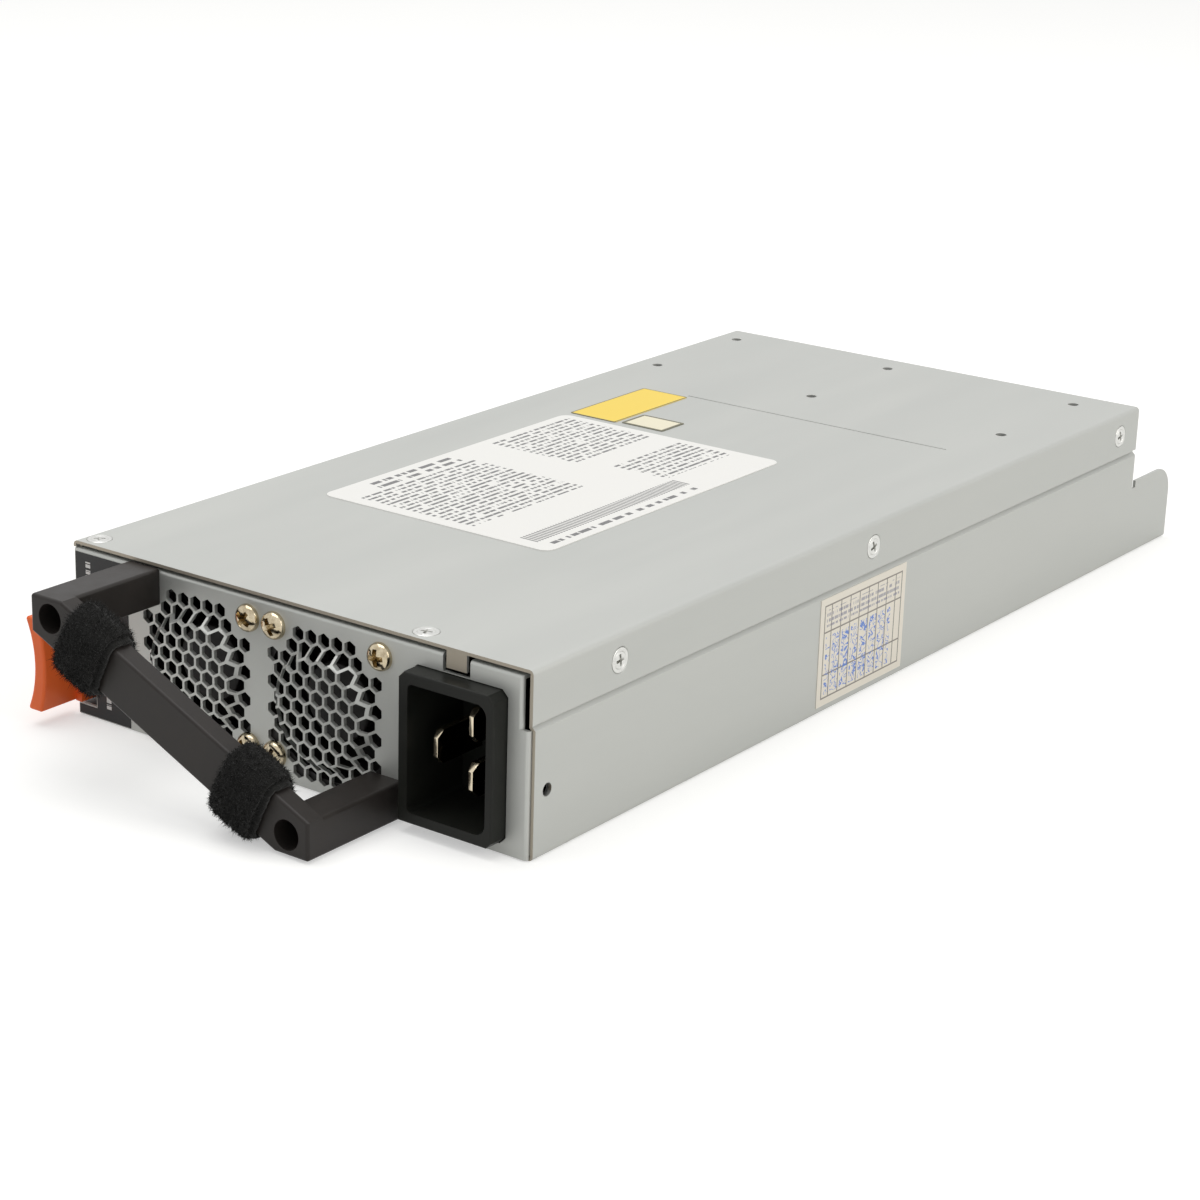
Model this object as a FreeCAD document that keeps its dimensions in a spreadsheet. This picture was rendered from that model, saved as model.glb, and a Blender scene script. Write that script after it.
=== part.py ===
"""Hot swap server power supply: a sheet metal drawer with two fans, a mains inlet and a card edge output.

Frame: X across, +Y from the front panel towards the rear, +Z up, origin in the middle of the underside.
All lengths are millimetres.
"""
import FreeCAD, Part
import os
import re
import Sketcher

os.makedirs("parts", exist_ok=True)
doc = FreeCAD.newDocument("HotSwapPowerSupply")
V = FreeCAD.Vector

# ---------------------------------------------------------------- driving dimensions
SIZES = {
    # housing
    "width": 140.0, "height": 45.0, "cover_length": 288.0,
    "gauge": 0.8,                  # tray and cover sheet
    "panel_gauge": 1.0,            # front panel sheet
    "seam": 0.1,                   # gap between two sheets that lie on each other
    "joggle": 0.9,                 # step inwards of the tray walls under the cover
    "flange_height": 12.6,         # side flange of the cover
    "tab_length": 25.0, "tab_height": 22.5, "tab_radius": 8.0,
    "notch_size": 2.0,             # relief notch at the root of each tab
    "bend_radius": 1.2,
    "card_slot_gap": 0.8, "vent_pitch": 6.0, "vent_width": 3.6, "vent_low": 16.0, "vent_top_gap": 5.0,
    # flush screws
    "dimple_radius": 3.3, "dimple_depth": 1.7, "screw_radius": 1.5, "screw_play": 0.05,
    "head_play": 0.1, "flush_screw_length": 4.0,
    "top_screw_back": 4.6, "top_screw_left": 4.2, "top_screw_right": 33.5,
    "side_screw_front": 32.0, "side_screw_middle": 141.0, "side_screw_rear": 11.0,
    "side_screw_height": 38.6,
    # cover
    "cover_hole_radius": 1.5, "cover_hole_left": 7.5, "cover_hole_middle": 62.0,
    "cover_hole_right": 16.0, "cover_hole_rear": 10.0, "cover_hole_pitch": 43.0,
    "crease_left": 35.0, "crease_right": 20.0, "crease_rear": 77.0,
    "crease_width": 0.6, "crease_depth": 0.15,
    "tongue_side": 3.7,            # tongue's left edge, left of the inlet's middle
    "tongue_width": 5.7, "tongue_gap": 1.0,
    # front panel
    "panel_left_gap": 0.3, "panel_low_gap": 0.3, "panel_top_gap": 0.9,
    "slot_width": 2.0,             # narrow slot at the upper right corner
    "top_return": 11.0, "side_return": 9.0, "return_gap": 0.6, "opening_play": 0.2,
    "pin_hole_radius": 1.6, "pin_hole_back": 5.8, "pin_hole_height": 15.8,
    # fans and grilles
    "fan_size": 40.0, "fan_depth": 28.0, "fan_corner": 3.0, "fan_gap": 0.1,
    "fan_inlet_gap": 5.15,         # from the right fan's side to the inlet's
    "fan_height": 22.2,
    "screw_inset": 4.0, "fan_hole_radius": 2.15, "fan_screw_radius": 2.1, "panel_hole_radius": 2.3,
    "fan_head_radius": 3.4, "fan_head_height": 2.3, "fan_screw_length": 9.0,
    "duct_wall": 1.2, "tip_gap": 0.6, "hub_radius": 9.5, "hub_length": 20.0, "hub_wall": 1.2,
    "hub_edge": 0.8, "rotor_inset": 2.5,
    "blade_count": 7, "blade_thick": 1.3,
    "root_rise": 6.5, "root_run": 3.2, "tip_rise": 4.5, "tip_run": 6.0,
    "shaft_radius": 1.0, "shaft_gap": 0.06, "stator_radius": 6.9, "stator_length": 14.0,
    "stator_gap": 0.6, "spider_depth": 2.0, "strut_width": 2.6,
    "grille_left": 0.9, "grille_drop": 1.3,   # grille's middle from its fan's middle
    "grille_side": 2.8,            # duct's radius less the cells' reach to each side
    "grille_rise": 0.1,            # cells' reach along the slant less the duct's radius
    "emboss_foot": 4.0,            # duct's radius less the radius at the foot of the slope
    "emboss_slope": 2.1, "emboss_height": 2.5,
    "cell_pitch": 3.9, "cell_web": 0.65,
    # mains inlet
    "inlet_width": 26.7, "inlet_tall": 35.9, "inlet_proud": 5.0, "inlet_edge": 0.5,
    "inlet_inset": 20.3,           # inlet's middle from the right side
    "inlet_height": 20.7, "inlet_depth": 24.0, "inlet_chamfer": 1.6,
    "cavity_width": 22.1, "cavity_tall": 30.6, "cavity_depth": 20.0,
    "cavity_corner": 2.8, "cavity_sharp": 1.2, "cavity_shift": 0.45,
    "blade_wide": 8.0, "pin_thick": 2.0, "pin_spacing": 13.0, "pin_play": 0.05,
    "earth_offset": 6.1, "live_offset": 2.3, "earth_recess": 4.5, "live_recess": 6.5,
    "pin_chamfer": 1.2, "tag_length": 12.0,
    # handle
    "handle_reach": 32.0, "arm_width": 10.0, "arm_tall": 9.2,
    "arm_outside": 6.5, "arm_above": 5.6,     # handle's screw to the arm's outer sides
    "bar_depth": 5.0, "handle_edge": 0.8,
    "well_radius": 3.6, "well_across": 0.2, "well_up": 0.7,   # well's middle from its screw
    "seat_radius": 2.85, "seat_depth": 2.2,
    "handle_floor": 3.0, "handle_head_radius": 2.7, "handle_head_height": 2.0,
    # straps round the handle's bar
    "strap_width": 13.0, "strap_thick": 2.6, "strap_gap": 0.3,
    "strap_end": 14.873,           # strap's middle from the end of the bar's run
    "strap_fold": 3.0, "strap_inner_fold": 0.5,
    # release latch
    "latch_low": 4.0, "latch_high": 28.0, "pocket_low": 3.2, "pocket_high": 29.5,
    "pocket_depth": 6.4, "pocket_length": 46.0,
    "pivot_back": 40.0, "pivot_inset": 3.3, "pivot_radius": 1.0, "pivot_gap": 0.06,
    "pivot_ear_gap": 0.02, "lever_thick": 2.0, "lever_inset": 0.6, "lever_hub": 2.6,
    "paddle_reach": 13.0, "paddle_out": 4.9, "paddle_in": 2.2, "paddle_edge": 0.7,
    "scoop_radius": 27.0, "scoop_depth": 3.4, "bulge_radius": 41.0,
    "catch_back": 10.0, "catch_length": 11.0, "catch_out": 2.0, "catch_flat": 2.0,
    "catch_low": 10.0, "catch_high": 22.0,
    "leaf_thick": 0.35, "leaf_width": 8.0, "leaf_gap": 0.3, "leaf_foot": 7.0,
    "leaf_start": 12.5, "leaf_bend": 14.5, "leaf_root": 26.0, "leaf_curl": 0.5,
    # main board
    "board_gap": 1.4,              # behind the fans
    "board_side_gap": 3.0, "board_rear_gap": 4.0, "board_thick": 1.6, "board_height": 6.8,
    "board_notch": 8.0, "board_notch_length": 18.0,
    "edge_width": 84.0, "edge_reach": 18.0, "edge_bevel": 1.0,
    "standoff_radius": 2.8, "board_screw_radius": 1.4, "standoff_inset": 7.0, "standoff_shift": 15.0,
    "thread_depth": 4.0, "board_screw_end": 3.5, "board_head_radius": 2.5, "board_head_height": 1.7,
    "film_thick": 0.3, "film_inset": 9.0, "film_end": 2.0,
    "finger_thick": 0.1, "finger_length": 12.0, "finger_back": 1.5,
    # parts on the board: sizes, then places from the left side and from the front or the rear
    "filter_board_back": 9.0, "filter_board_tall": 32.0,
    "can_bevel": 1.0,
    "bulk_radius": 15.0, "bulk_tall": 31.0, "bulk_left": 24.0, "bulk_front": 102.0, "bulk_pitch": 34.0,
    "output_radius": 5.0, "output_tall": 20.0, "output_left": 28.0, "output_rear": 22.0,
    "output_pitch": 12.0,
    "sink_foot": 12.0, "sink_thick": 3.0, "sink_tall": 32.0, "sink_base": 2.0, "sink_fin": 1.5,
    "primary_sink_left": 48.0, "primary_sink_front": 84.0, "primary_sink_length": 74.0,
    "secondary_sink_left": 88.0, "secondary_sink_rear": 48.0, "secondary_sink_length": 64.0,
    "package_thick": 4.7, "package_gap": 0.1, "package_start": 2.0,
    "primary_package_width": 15.6, "primary_package_tall": 20.0, "primary_package_pitch": 18.0,
    "secondary_package_width": 10.0, "secondary_package_tall": 18.0, "secondary_package_pitch": 12.0,
    "choke_bevel": 2.2,
    "filter_choke_inner": 5.0, "filter_choke_outer": 13.5, "filter_choke_tall": 10.0,
    "filter_choke_left": 114.0, "filter_choke_front": 62.0,
    "boost_choke_inner": 7.0, "boost_choke_outer": 19.0, "boost_choke_tall": 15.0,
    "boost_choke_left": 86.0, "boost_choke_front": 96.0,
    "output_choke_inner": 6.0, "output_choke_outer": 16.5, "output_choke_tall": 14.0,
    "output_choke_left": 40.0, "output_choke_rear": 54.0,
    "film_can_width": 10.0, "film_can_length": 22.0, "film_can_tall": 18.0,
    "film_can_left": 66.0, "film_can_front": 48.0, "film_can_pitch": 14.0,
    "core_left": 66.0, "core_front": 124.0, "core_width": 40.0, "core_length": 34.0, "core_tall": 30.0,
    "core_leg": 5.0, "core_window": 10.0, "core_yoke": 5.0, "coil_gap": 0.2, "coil_proud": 3.0,
    "card_left": 118.0, "card_front": 110.0, "card_length": 60.0, "card_tall": 28.0,
    "socket_width": 5.0, "socket_tall": 3.0,
    "bar_left": 104.0, "bar_pitch": 8.0, "bar_rear": 48.0, "bar_length": 60.0,
    "bar_thick": 2.0, "bar_tall": 12.0, "bar_foot": 6.0, "bar_foot_thick": 1.5,
    # labels, from the left side and the front
    "label_thick": 0.15, "label_corner": 3.0, "sticker_corner": 0.6,
    "front_label_side": 0.7,       # from the label to the handle's upper arm
    "front_label_gap": 0.3,
    "rating_left": 20.5, "rating_width": 72.2, "rating_front": 67.5, "rating_length": 103.5,
    "yellow_left": 20.5, "yellow_width": 15.5, "yellow_front": 173.5, "yellow_length": 36.0,
    "small_left": 37.5, "small_width": 14.0, "small_front": 174.5, "small_length": 11.0,
    "side_label_front": 117.0, "side_label_length": 41.0, "side_label_low": 2.0,
    "side_label_high": 30.4,
}

# words that stand for places worked out from the sizes above
DERIVED = {
    "left": "(-width / 2)", "right": "(width / 2)",
    "front": "(-cover_length / 2)", "rear": "(cover_length / 2)",
    "flange_low": "(height - flange_height)",
    "wall_top": "(height - gauge - seam)",
    "joggle_low": "(height - flange_height - gauge - joggle)",
    "panel_top": "(height - gauge - panel_top_gap)",
    "panel_back": "(front + panel_gauge)",
    "panel_left": "(left + panel_left_gap)",
    "panel_right": "(right - gauge - seam)",
    "panel_step": "(panel_right + seam - slot_width)",
    "fan_front": "(panel_back + fan_gap)",
    "fan_pair": "(inlet_x - inlet_width / 2 - fan_inlet_gap - fan_size)",
    "fan_one": "(fan_pair - fan_size / 2)",
    "fan_two": "(fan_pair + fan_size / 2)",
    "screw_pitch": "(fan_size - 2 * screw_inset)",
    "duct_radius": "(fan_size / 2 - duct_wall)",
    "rotor_radius": "(duct_radius - tip_gap)",
    "grille_height": "(fan_height - grille_drop)",
    "emboss_root": "(duct_radius - emboss_foot)",
    "emboss_top": "(emboss_root - emboss_slope)",
    "inlet_x": "(right - inlet_inset)",
    "inlet_top": "(inlet_height + inlet_tall / 2)",
    "cavity_x": "(inlet_x + cavity_shift)",
    "pin_tip": "(front - inlet_proud)",
    "tongue_x": "(inlet_x - tongue_side)",
    "tongue_end": "(tongue_x + tongue_width)",
    "handle_left": "(fan_one - screw_pitch / 2 - arm_outside)",
    "handle_right": "(fan_two + screw_pitch / 2 + arm_outside)",
    "handle_top": "(fan_height + screw_pitch / 2 + arm_above)",
    "handle_low": "(fan_height - screw_pitch / 2 - arm_above)",
    "handle_front": "(front - handle_reach)",
    "board_front": "(fan_front + fan_depth + board_gap)",
    "board_rear": "(rear - board_rear_gap)",
    "board_half": "(width / 2 - board_side_gap)",
    "board_top": "(board_height + board_thick)",
    "edge_half": "(edge_width / 2)", "edge_end": "(rear + edge_reach)",
    "latch_mid": "((latch_low + latch_high) / 2)",
    "web_face": "(left + pocket_depth)",
    "pivot_x": "(left + pivot_inset)", "pivot_y": "(front + pivot_back)",
    "lever_face": "(left + lever_inset + lever_thick)",
    "core_x": "(left + core_left)", "core_y": "(front + core_front)",
    "secondary_sink_y": "(rear - secondary_sink_rear - secondary_sink_length)",
}

sheet = doc.addObject("Spreadsheet::Sheet", "Sizes")
for row, (alias, number) in enumerate(SIZES.items(), start=1):
    sheet.set(f"A{row}", alias)
    sheet.set(f"B{row}", str(number))
    sheet.setAlias(f"B{row}", alias)
doc.recompute()


# ---------------------------------------------------------------- small helpers
def spelled(text):
    """Return the expression with each derived word replaced by its formula."""
    text = str(text)
    while True:
        longer = re.sub(r"\b[a-z_]+\b", lambda word: DERIVED.get(word.group(), word.group()), text)
        if longer == text:
            return text
        text = longer


def bound(text):
    """Return the expression as objects outside the sheet read it."""
    return re.sub(r"\b[a-z_]+\b", lambda word: "Sizes." + word.group()
                  if word.group() in SIZES else word.group(), spelled(text))


def value(text):
    """Return the expression's number."""
    return float(sheet.evalExpression(spelled(text)))


def place(solid, at, turn=None):
    """Put a solid's own origin at three expressions, turned by a rotation."""
    solid.Placement = FreeCAD.Placement(V(0, 0, 0), turn or FreeCAD.Rotation())
    for axis, text in zip("xyz", at):
        solid.setExpression(f"Placement.Base.{axis}", bound(text))
    return solid


ALONG = {
    "Z": FreeCAD.Rotation(),
    "X": FreeCAD.Rotation(V(0, 1, 0), 90),
    "Y": FreeCAD.Rotation(V(1, 0, 0), -90),
    "-Z": FreeCAD.Rotation(V(1, 0, 0), 180),
    "-X": FreeCAD.Rotation(V(0, 1, 0), -90),
    "-Y": FreeCAD.Rotation(V(1, 0, 0), 90),
}


def box(name, size, at):
    """A block from its low corner."""
    solid = doc.addObject("Part::Box", name)
    for side, text in zip(("Length", "Width", "Height"), size):
        solid.setExpression(side, bound(text))
    return place(solid, at)


def rod(name, radius, length, at, along="Z"):
    """A cylinder that starts at a point and runs along an axis."""
    solid = doc.addObject("Part::Cylinder", name)
    solid.setExpression("Radius", bound(radius))
    solid.setExpression("Height", bound(length))
    return place(solid, at, ALONG[along])


def cone(name, first, last, length, at, along="Z"):
    """A cone from its first radius to its last radius along an axis."""
    solid = doc.addObject("Part::Cone", name)
    solid.setExpression("Radius1", bound(first))
    solid.setExpression("Radius2", bound(last))
    solid.setExpression("Height", bound(length))
    return place(solid, at, ALONG[along])


def fuse(name, *solids):
    joined = doc.addObject("Part::MultiFuse", name)
    joined.Shapes = list(solids)
    return joined


def cut(name, base, *tools):
    """Take the tools away from the base. Tools may overlap each other."""
    removed = tools[0] if len(tools) == 1 else fuse(name + "_tools", *tools)
    result = doc.addObject("Part::Cut", name)
    result.Base = base
    result.Tool = removed
    return result


def group(name, *solids):
    """Separate solids of one kind, kept in one node."""
    bundle = doc.addObject("Part::Compound", name)
    bundle.Links = list(solids)
    return bundle


def new_body(name):
    return doc.addObject("PartDesign::Body", name)


def sketch(body, name, plane, offset="0"):
    """A sketch on one of the body's own planes, shifted along the plane's normal."""
    drawing = body.newObject("Sketcher::SketchObject", name)
    base = next(item for item in body.Origin.OriginFeatures if item.Role == plane + "_Plane")
    drawing.AttachmentSupport = [(base, "")]
    drawing.MapMode = "FlatFace"
    # the normal of the XZ plane points to -Y
    sign = "-" if plane == "XZ" else ""
    drawing.setExpression("AttachmentOffset.Base.z", bound(f"{sign}({offset})"))
    return drawing


def pin_point(drawing, edge, end, point):
    """Tie one end of an edge to two expressions."""
    for kind, text in zip(("DistanceX", "DistanceY"), point):
        index = drawing.addConstraint(Sketcher.Constraint(kind, -1, 1, edge, end, value(text)))
        drawing.setExpression(f"Constraints[{index}]", bound(text))


def outline(drawing, points):
    """A closed outline of straight lines through points given as expressions."""
    places = [V(value(across), value(up), 0) for across, up in points]
    start = drawing.GeometryCount
    count = len(points)
    for index in range(count):
        drawing.addGeometry(Part.LineSegment(places[index], places[(index + 1) % count]))
    for index in range(count):
        following = start + (index + 1) % count
        drawing.addConstraint(Sketcher.Constraint("Coincident", start + index, 2, following, 1))
        pin_point(drawing, start + index, 1, points[index])
    return drawing


def rectangle(drawing, low, high):
    return outline(drawing, [low, (high[0], low[1]), high, (low[0], high[1])])


def circle(drawing, centre, radius):
    where = V(value(centre[0]), value(centre[1]), 0)
    edge = drawing.addGeometry(Part.Circle(where, V(0, 0, 1), value(radius)))
    pin_point(drawing, edge, 3, centre)
    index = drawing.addConstraint(Sketcher.Constraint("Radius", edge, value(radius)))
    drawing.setExpression(f"Constraints[{index}]", bound(radius))
    return drawing


def pad(body, drawing, length, name, backwards=False):
    """Add material from the sketch along its plane's normal, or against it."""
    feature = body.newObject("PartDesign::Pad", name)
    feature.Profile = drawing
    feature.Reversed = backwards
    feature.setExpression("Length", bound(length))
    doc.recompute()
    return feature


def pocket(body, drawing, length, name, backwards=False):
    """Take material away against the plane's normal, and test that something went."""
    before = body.Shape.Volume
    feature = body.newObject("PartDesign::Pocket", name)
    feature.Profile = drawing
    feature.Reversed = backwards
    feature.setExpression("Length", bound(length))
    doc.recompute()
    if not body.Shape.Volume < before:
        raise RuntimeError(f"{name} cuts nothing")
    return feature


def near(first, second):
    return abs(first - second) < 0.01


def edge_names(shape, test):
    """Names of the edges whose middle point and direction pass a test."""
    names = []
    for index, edge in enumerate(shape.Edges, start=1):
        middle = edge.CenterOfMass
        along = edge.tangentAt(edge.FirstParameter)
        if test(middle, along, edge):
            names.append(f"Edge{index}")
    return names


def round_edges(body, radius, name, test):
    """Fillet the edges of a body that pass a test."""
    names = edge_names(body.Shape, test)
    if not names:
        raise RuntimeError(f"{name} finds no edge")
    tip = body.Tip
    feature = body.newObject("PartDesign::Fillet", name)
    feature.Base = (tip, names)
    feature.setExpression("Radius", bound(radius))
    doc.recompute()
    return feature


NODES = []


def node(solid, label):
    """Name a finished sub-part and list it for export."""
    solid.Label = label
    NODES.append(solid)
    return solid


def mirrored(points):
    """The same outline on the other side of the middle plane, run the other way."""
    return [(f"-({across})", up) for across, up in reversed(points)]


# ---------------------------------------------------------------- housing
def countersinks(name, points, along):
    """Cutters for flush screws: a cone that ends in the thread's hole."""
    cutters = []
    for index, at in enumerate(points):
        cutters.append(cone(f"{name}_cone{index}", "dimple_radius", "screw_radius",
                            "dimple_depth", at, along))
        cutters.append(rod(f"{name}_hole{index}", "screw_radius + screw_play",
                           "flush_screw_length + 1", at, along))
    return cutters


def side_screw_points(side):
    """Three flush screws hold each side flange."""
    places = ("front + side_screw_front", "front + side_screw_middle", "rear - side_screw_rear")
    return [(side, back, "side_screw_height") for back in places]


def top_screw_points():
    """Two flush screws hold the cover's front edge to the panel's return."""
    places = ("left + top_screw_left", "right - top_screw_right")
    return [(across, "front + top_screw_back", "height") for across in places]


def tray_body():
    """Bottom and joggled walls from one folded sheet, with the rear wall and the tabs."""
    body = new_body("tray_sheet")
    outside = [
        ("right", "0"),
        ("right", "joggle_low"),
        ("right - joggle", "joggle_low + joggle"),
        ("right - joggle", "wall_top"),
        ("right - joggle - gauge", "wall_top"),
        ("right - joggle - gauge", "joggle_low + joggle - gauge / 2"),
        ("right - gauge", "joggle_low - gauge / 2"),
        ("right - gauge", "gauge"),
    ]
    section = sketch(body, "tray_section", "XZ", "rear")
    outline(section, outside + mirrored(outside))
    pad(body, section, "cover_length - panel_gauge - seam", "tray_walls")

    channel = [
        ("right", "0"), ("right", "tab_height"),
        ("right - gauge", "tab_height"), ("right - gauge", "gauge"),
    ]
    tail = sketch(body, "tab_section", "XZ", "rear + tab_length")
    outline(tail, channel + mirrored(channel))
    pad(body, tail, "tab_length", "tabs")

    wall = sketch(body, "rear_wall_outline", "XZ", "rear")
    reach = "right - joggle - gauge / 2"
    rectangle(wall, (f"-({reach})", "gauge / 2"), (reach, "wall_top"))
    pad(body, wall, "gauge", "rear_wall")

    corners = lambda middle, along, edge: (
        abs(along.y) > 0.99 and near(abs(middle.x), value("right")) and near(middle.z, 0))
    round_edges(body, "bend_radius", "tray_bends", corners)
    tips = lambda middle, along, edge: (
        abs(along.x) > 0.99 and near(middle.z, value("tab_height"))
        and near(middle.y, value("rear + tab_length")))
    round_edges(body, "tab_radius", "tab_corners", tips)

    notch = sketch(body, "notch_outline", "YZ", "right + 1")
    rectangle(notch, ("rear", "tab_height - notch_size"), ("rear + notch_size", "tab_height + 1"))
    pocket(body, notch, "width + 2", "notches")

    slot = sketch(body, "card_slot", "XZ", "rear")
    rectangle(slot, ("-edge_half - card_slot_gap", "board_height - card_slot_gap"),
              ("edge_half + card_slot_gap", "board_top + card_slot_gap"))
    pocket(body, slot, "gauge * 2", "card_opening", backwards=True)
    vents = sketch(body, "vent_slots", "XZ", "rear")
    count = int(value("board_half / vent_pitch")) - 1
    for index in range(-count, count + 1):
        centre = f"{index} * vent_pitch"
        rectangle(vents, (f"{centre} - vent_width / 2", "vent_low"),
                  (f"{centre} + vent_width / 2", "wall_top - vent_top_gap"))
    pocket(body, vents, "gauge * 2", "vents", backwards=True)

    window = sketch(body, "latch_window", "YZ", "left + gauge * 2")
    rectangle(window, ("front", "pocket_low"), ("front + pocket_length", "pocket_high"))
    pocket(body, window, "gauge * 3", "latch_opening")

    hole = sketch(body, "pin_hole", "YZ", "right + gauge")
    circle(hole, ("front + pin_hole_back", "pin_hole_height"), "pin_hole_radius")
    pocket(body, hole, "gauge * 3", "locating_hole")
    return body


def chassis_tray():
    sheet_metal = tray_body()
    cutters = countersinks("tray_right", side_screw_points("right"), "-X")
    cutters += countersinks("tray_left", side_screw_points("left"), "X")
    node(cut("chassis_tray", sheet_metal, *cutters), "chassis_tray")


def top_cover():
    """Lid with side flanges, a locking tongue at the front and six plain holes."""
    body = new_body("cover_sheet")
    outside = [
        ("right", "flange_low"), ("right", "height"),
    ]
    inside = [("right - gauge", "height - gauge"), ("right - gauge", "flange_low")]
    section = sketch(body, "cover_section", "XZ", "rear")
    outline(section, outside + mirrored(outside)
            + [(f"-({across})", up) for across, up in reversed(inside)] + inside)
    pad(body, section, "cover_length", "cover_plate")
    corners = lambda middle, along, edge: (
        abs(along.y) > 0.99 and near(abs(middle.x), value("right")) and near(middle.z, value("height")))
    round_edges(body, "bend_radius", "cover_bends", corners)

    tongue = sketch(body, "tongue_outline", "XZ", "front + gauge")
    rectangle(tongue, ("tongue_x", "inlet_top + 1.4 * tongue_gap"), ("tongue_end", "height - gauge / 2"))
    pad(body, tongue, "gauge", "tongue")

    holes = sketch(body, "cover_holes", "XY", "height")
    for across in ("left + cover_hole_left", "left + cover_hole_middle", "right - cover_hole_right"):
        for back in ("rear - cover_hole_rear", "rear - cover_hole_rear - cover_hole_pitch"):
            circle(holes, (across, back), "cover_hole_radius")
    pocket(body, holes, "gauge * 2", "holes")
    crease = sketch(body, "crease_outline", "XY", "height")
    rectangle(crease, ("left + crease_left", "rear - crease_rear"),
              ("right - crease_right", "rear - crease_rear + crease_width"))
    pocket(body, crease, "crease_depth", "crease")

    # the panel's black end reaches out to the left side, so the flange there starts behind it
    step = sketch(body, "flange_step_outline", "XZ", "front")
    rectangle(step, ("left - gauge", "flange_low - gauge"), ("left + gauge + seam", "panel_top + seam"))
    pocket(body, step, "panel_gauge + seam", "flange_step")

    cutters = countersinks("cover_right", side_screw_points("right"), "-X")
    cutters += countersinks("cover_left", side_screw_points("left"), "X")
    cutters += countersinks("cover_top", top_screw_points(), "-Z")
    node(cut("top_cover", body, *cutters), "top_cover")


def panel_plate():
    """Front panel sheet with a return under the cover and one inside the right wall."""
    body = new_body("panel_sheet")
    notch_low = "inlet_top + 2 * opening_play"
    face = sketch(body, "panel_face", "XZ", "panel_back")
    outline(face, [
        ("panel_left", "panel_low_gap"), ("panel_right", "panel_low_gap"),
        ("panel_right", "joggle_low"), ("panel_step", "joggle_low"), ("panel_step", "panel_top"),
        ("tongue_end + tongue_gap", "panel_top"), ("tongue_end + tongue_gap", notch_low),
        ("tongue_x - tongue_gap", notch_low), ("tongue_x - tongue_gap", "panel_top"),
        ("panel_left", "panel_top"), ("panel_left", "pocket_high"), ("web_face", "pocket_high"),
        ("web_face", "pocket_low"), ("panel_left", "pocket_low"),
    ])
    pad(body, face, "panel_gauge", "face_plate")

    top = sketch(body, "top_return_outline", "XZ", "front + top_return")
    rectangle(top, ("left + 2 * panel_gauge", "panel_top - panel_gauge"),
              ("tongue_x - tongue_gap", "panel_top"))
    rectangle(top, ("tongue_end + tongue_gap", "panel_top - panel_gauge"),
              ("panel_step", "panel_top"))
    pad(body, top, "top_return - panel_gauge / 2", "top_flange")
    side = sketch(body, "side_return_outline", "XZ", "front + side_return")
    rectangle(side, ("panel_right - panel_gauge", "gauge + return_gap"),
              ("panel_right", "joggle_low - return_gap"))
    pad(body, side, "side_return - panel_gauge / 2", "side_flange")
    clear = sketch(body, "return_hole", "YZ", "right")
    circle(clear, ("front + pin_hole_back", "pin_hole_height"), "pin_hole_radius + return_gap")
    pocket(body, clear, "4 * panel_gauge", "hole_clearance")

    front_edges = lambda middle, along, edge: (
        near(middle.y, value("front")) and (
            (near(middle.z, value("panel_top")) and abs(along.x) > 0.99)
            or (near(middle.x, value("panel_right")) and abs(along.z) > 0.99)
            or (near(middle.x, value("panel_step")) and abs(along.z) > 0.99)))
    round_edges(body, "panel_gauge * 0.9", "panel_bends", front_edges)
    return body


def honeycomb():
    """Six-sided cells in offset rows: a round field with its two sides cut straight."""
    pitch = value("cell_pitch")
    flat_half = (pitch - value("cell_web")) / 2
    corner = flat_half * 2 / 3 ** 0.5
    row_step = pitch * 3 ** 0.5 / 2
    side_reach = value("duct_radius - grille_side")
    slant_reach = value("duct_radius + grille_rise")
    rows = int(slant_reach / row_step)
    start = value("front - emboss_height - panel_gauge")
    depth = value("emboss_height + panel_gauge * 3")
    cells = []
    for fan in ("fan_one", "fan_two"):
        middle = V(value(f"{fan} - grille_left"), start, value("grille_height"))
        for row in range(-rows, rows + 1):
            shift = 0.0 if row % 2 else pitch / 2
            for column in range(-rows - 1, rows + 2):
                across = column * pitch + shift
                up = row * row_step
                if abs(across) > side_reach or (across ** 2 + up ** 2) ** 0.5 > slant_reach:
                    continue
                centre = middle + V(across, 0, up)
                ring = [centre + V(x, 0, z) for x, z in (
                    (0, corner), (flat_half, corner / 2), (flat_half, -corner / 2),
                    (0, -corner), (-flat_half, -corner / 2), (-flat_half, corner / 2))]
                face = Part.Face(Part.makePolygon(ring + ring[:1]))
                cells.append(face.extrude(V(0, depth, 0)))
    pattern = doc.addObject("Part::Feature", "honeycomb_cells")
    pattern.Shape = Part.Compound(cells)
    pattern.Placement = FreeCAD.Placement()
    return pattern


def corner_points(skip_left, skip_right):
    """Corners of both fans, without those that the handle's screws use."""
    points = []
    for fan in ("fan_one", "fan_two"):
        for across in ("-", "+"):
            for up in ("-", "+"):
                points.append((fan, across, up))
    points.remove(skip_left)
    points.remove(skip_right)
    return [(f"{fan} {across} screw_pitch / 2", f"fan_height {up} screw_pitch / 2")
            for fan, across, up in points]


UPPER_CORNER = ("fan_one", "-", "+")
LOWER_CORNER = ("fan_two", "+", "-")
FAN_SCREWS = corner_points(UPPER_CORNER, LOWER_CORNER)
HANDLE_SCREWS = [
    ("fan_one - screw_pitch / 2", "fan_height + screw_pitch / 2"),
    ("fan_two + screw_pitch / 2", "fan_height - screw_pitch / 2"),
]


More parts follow.
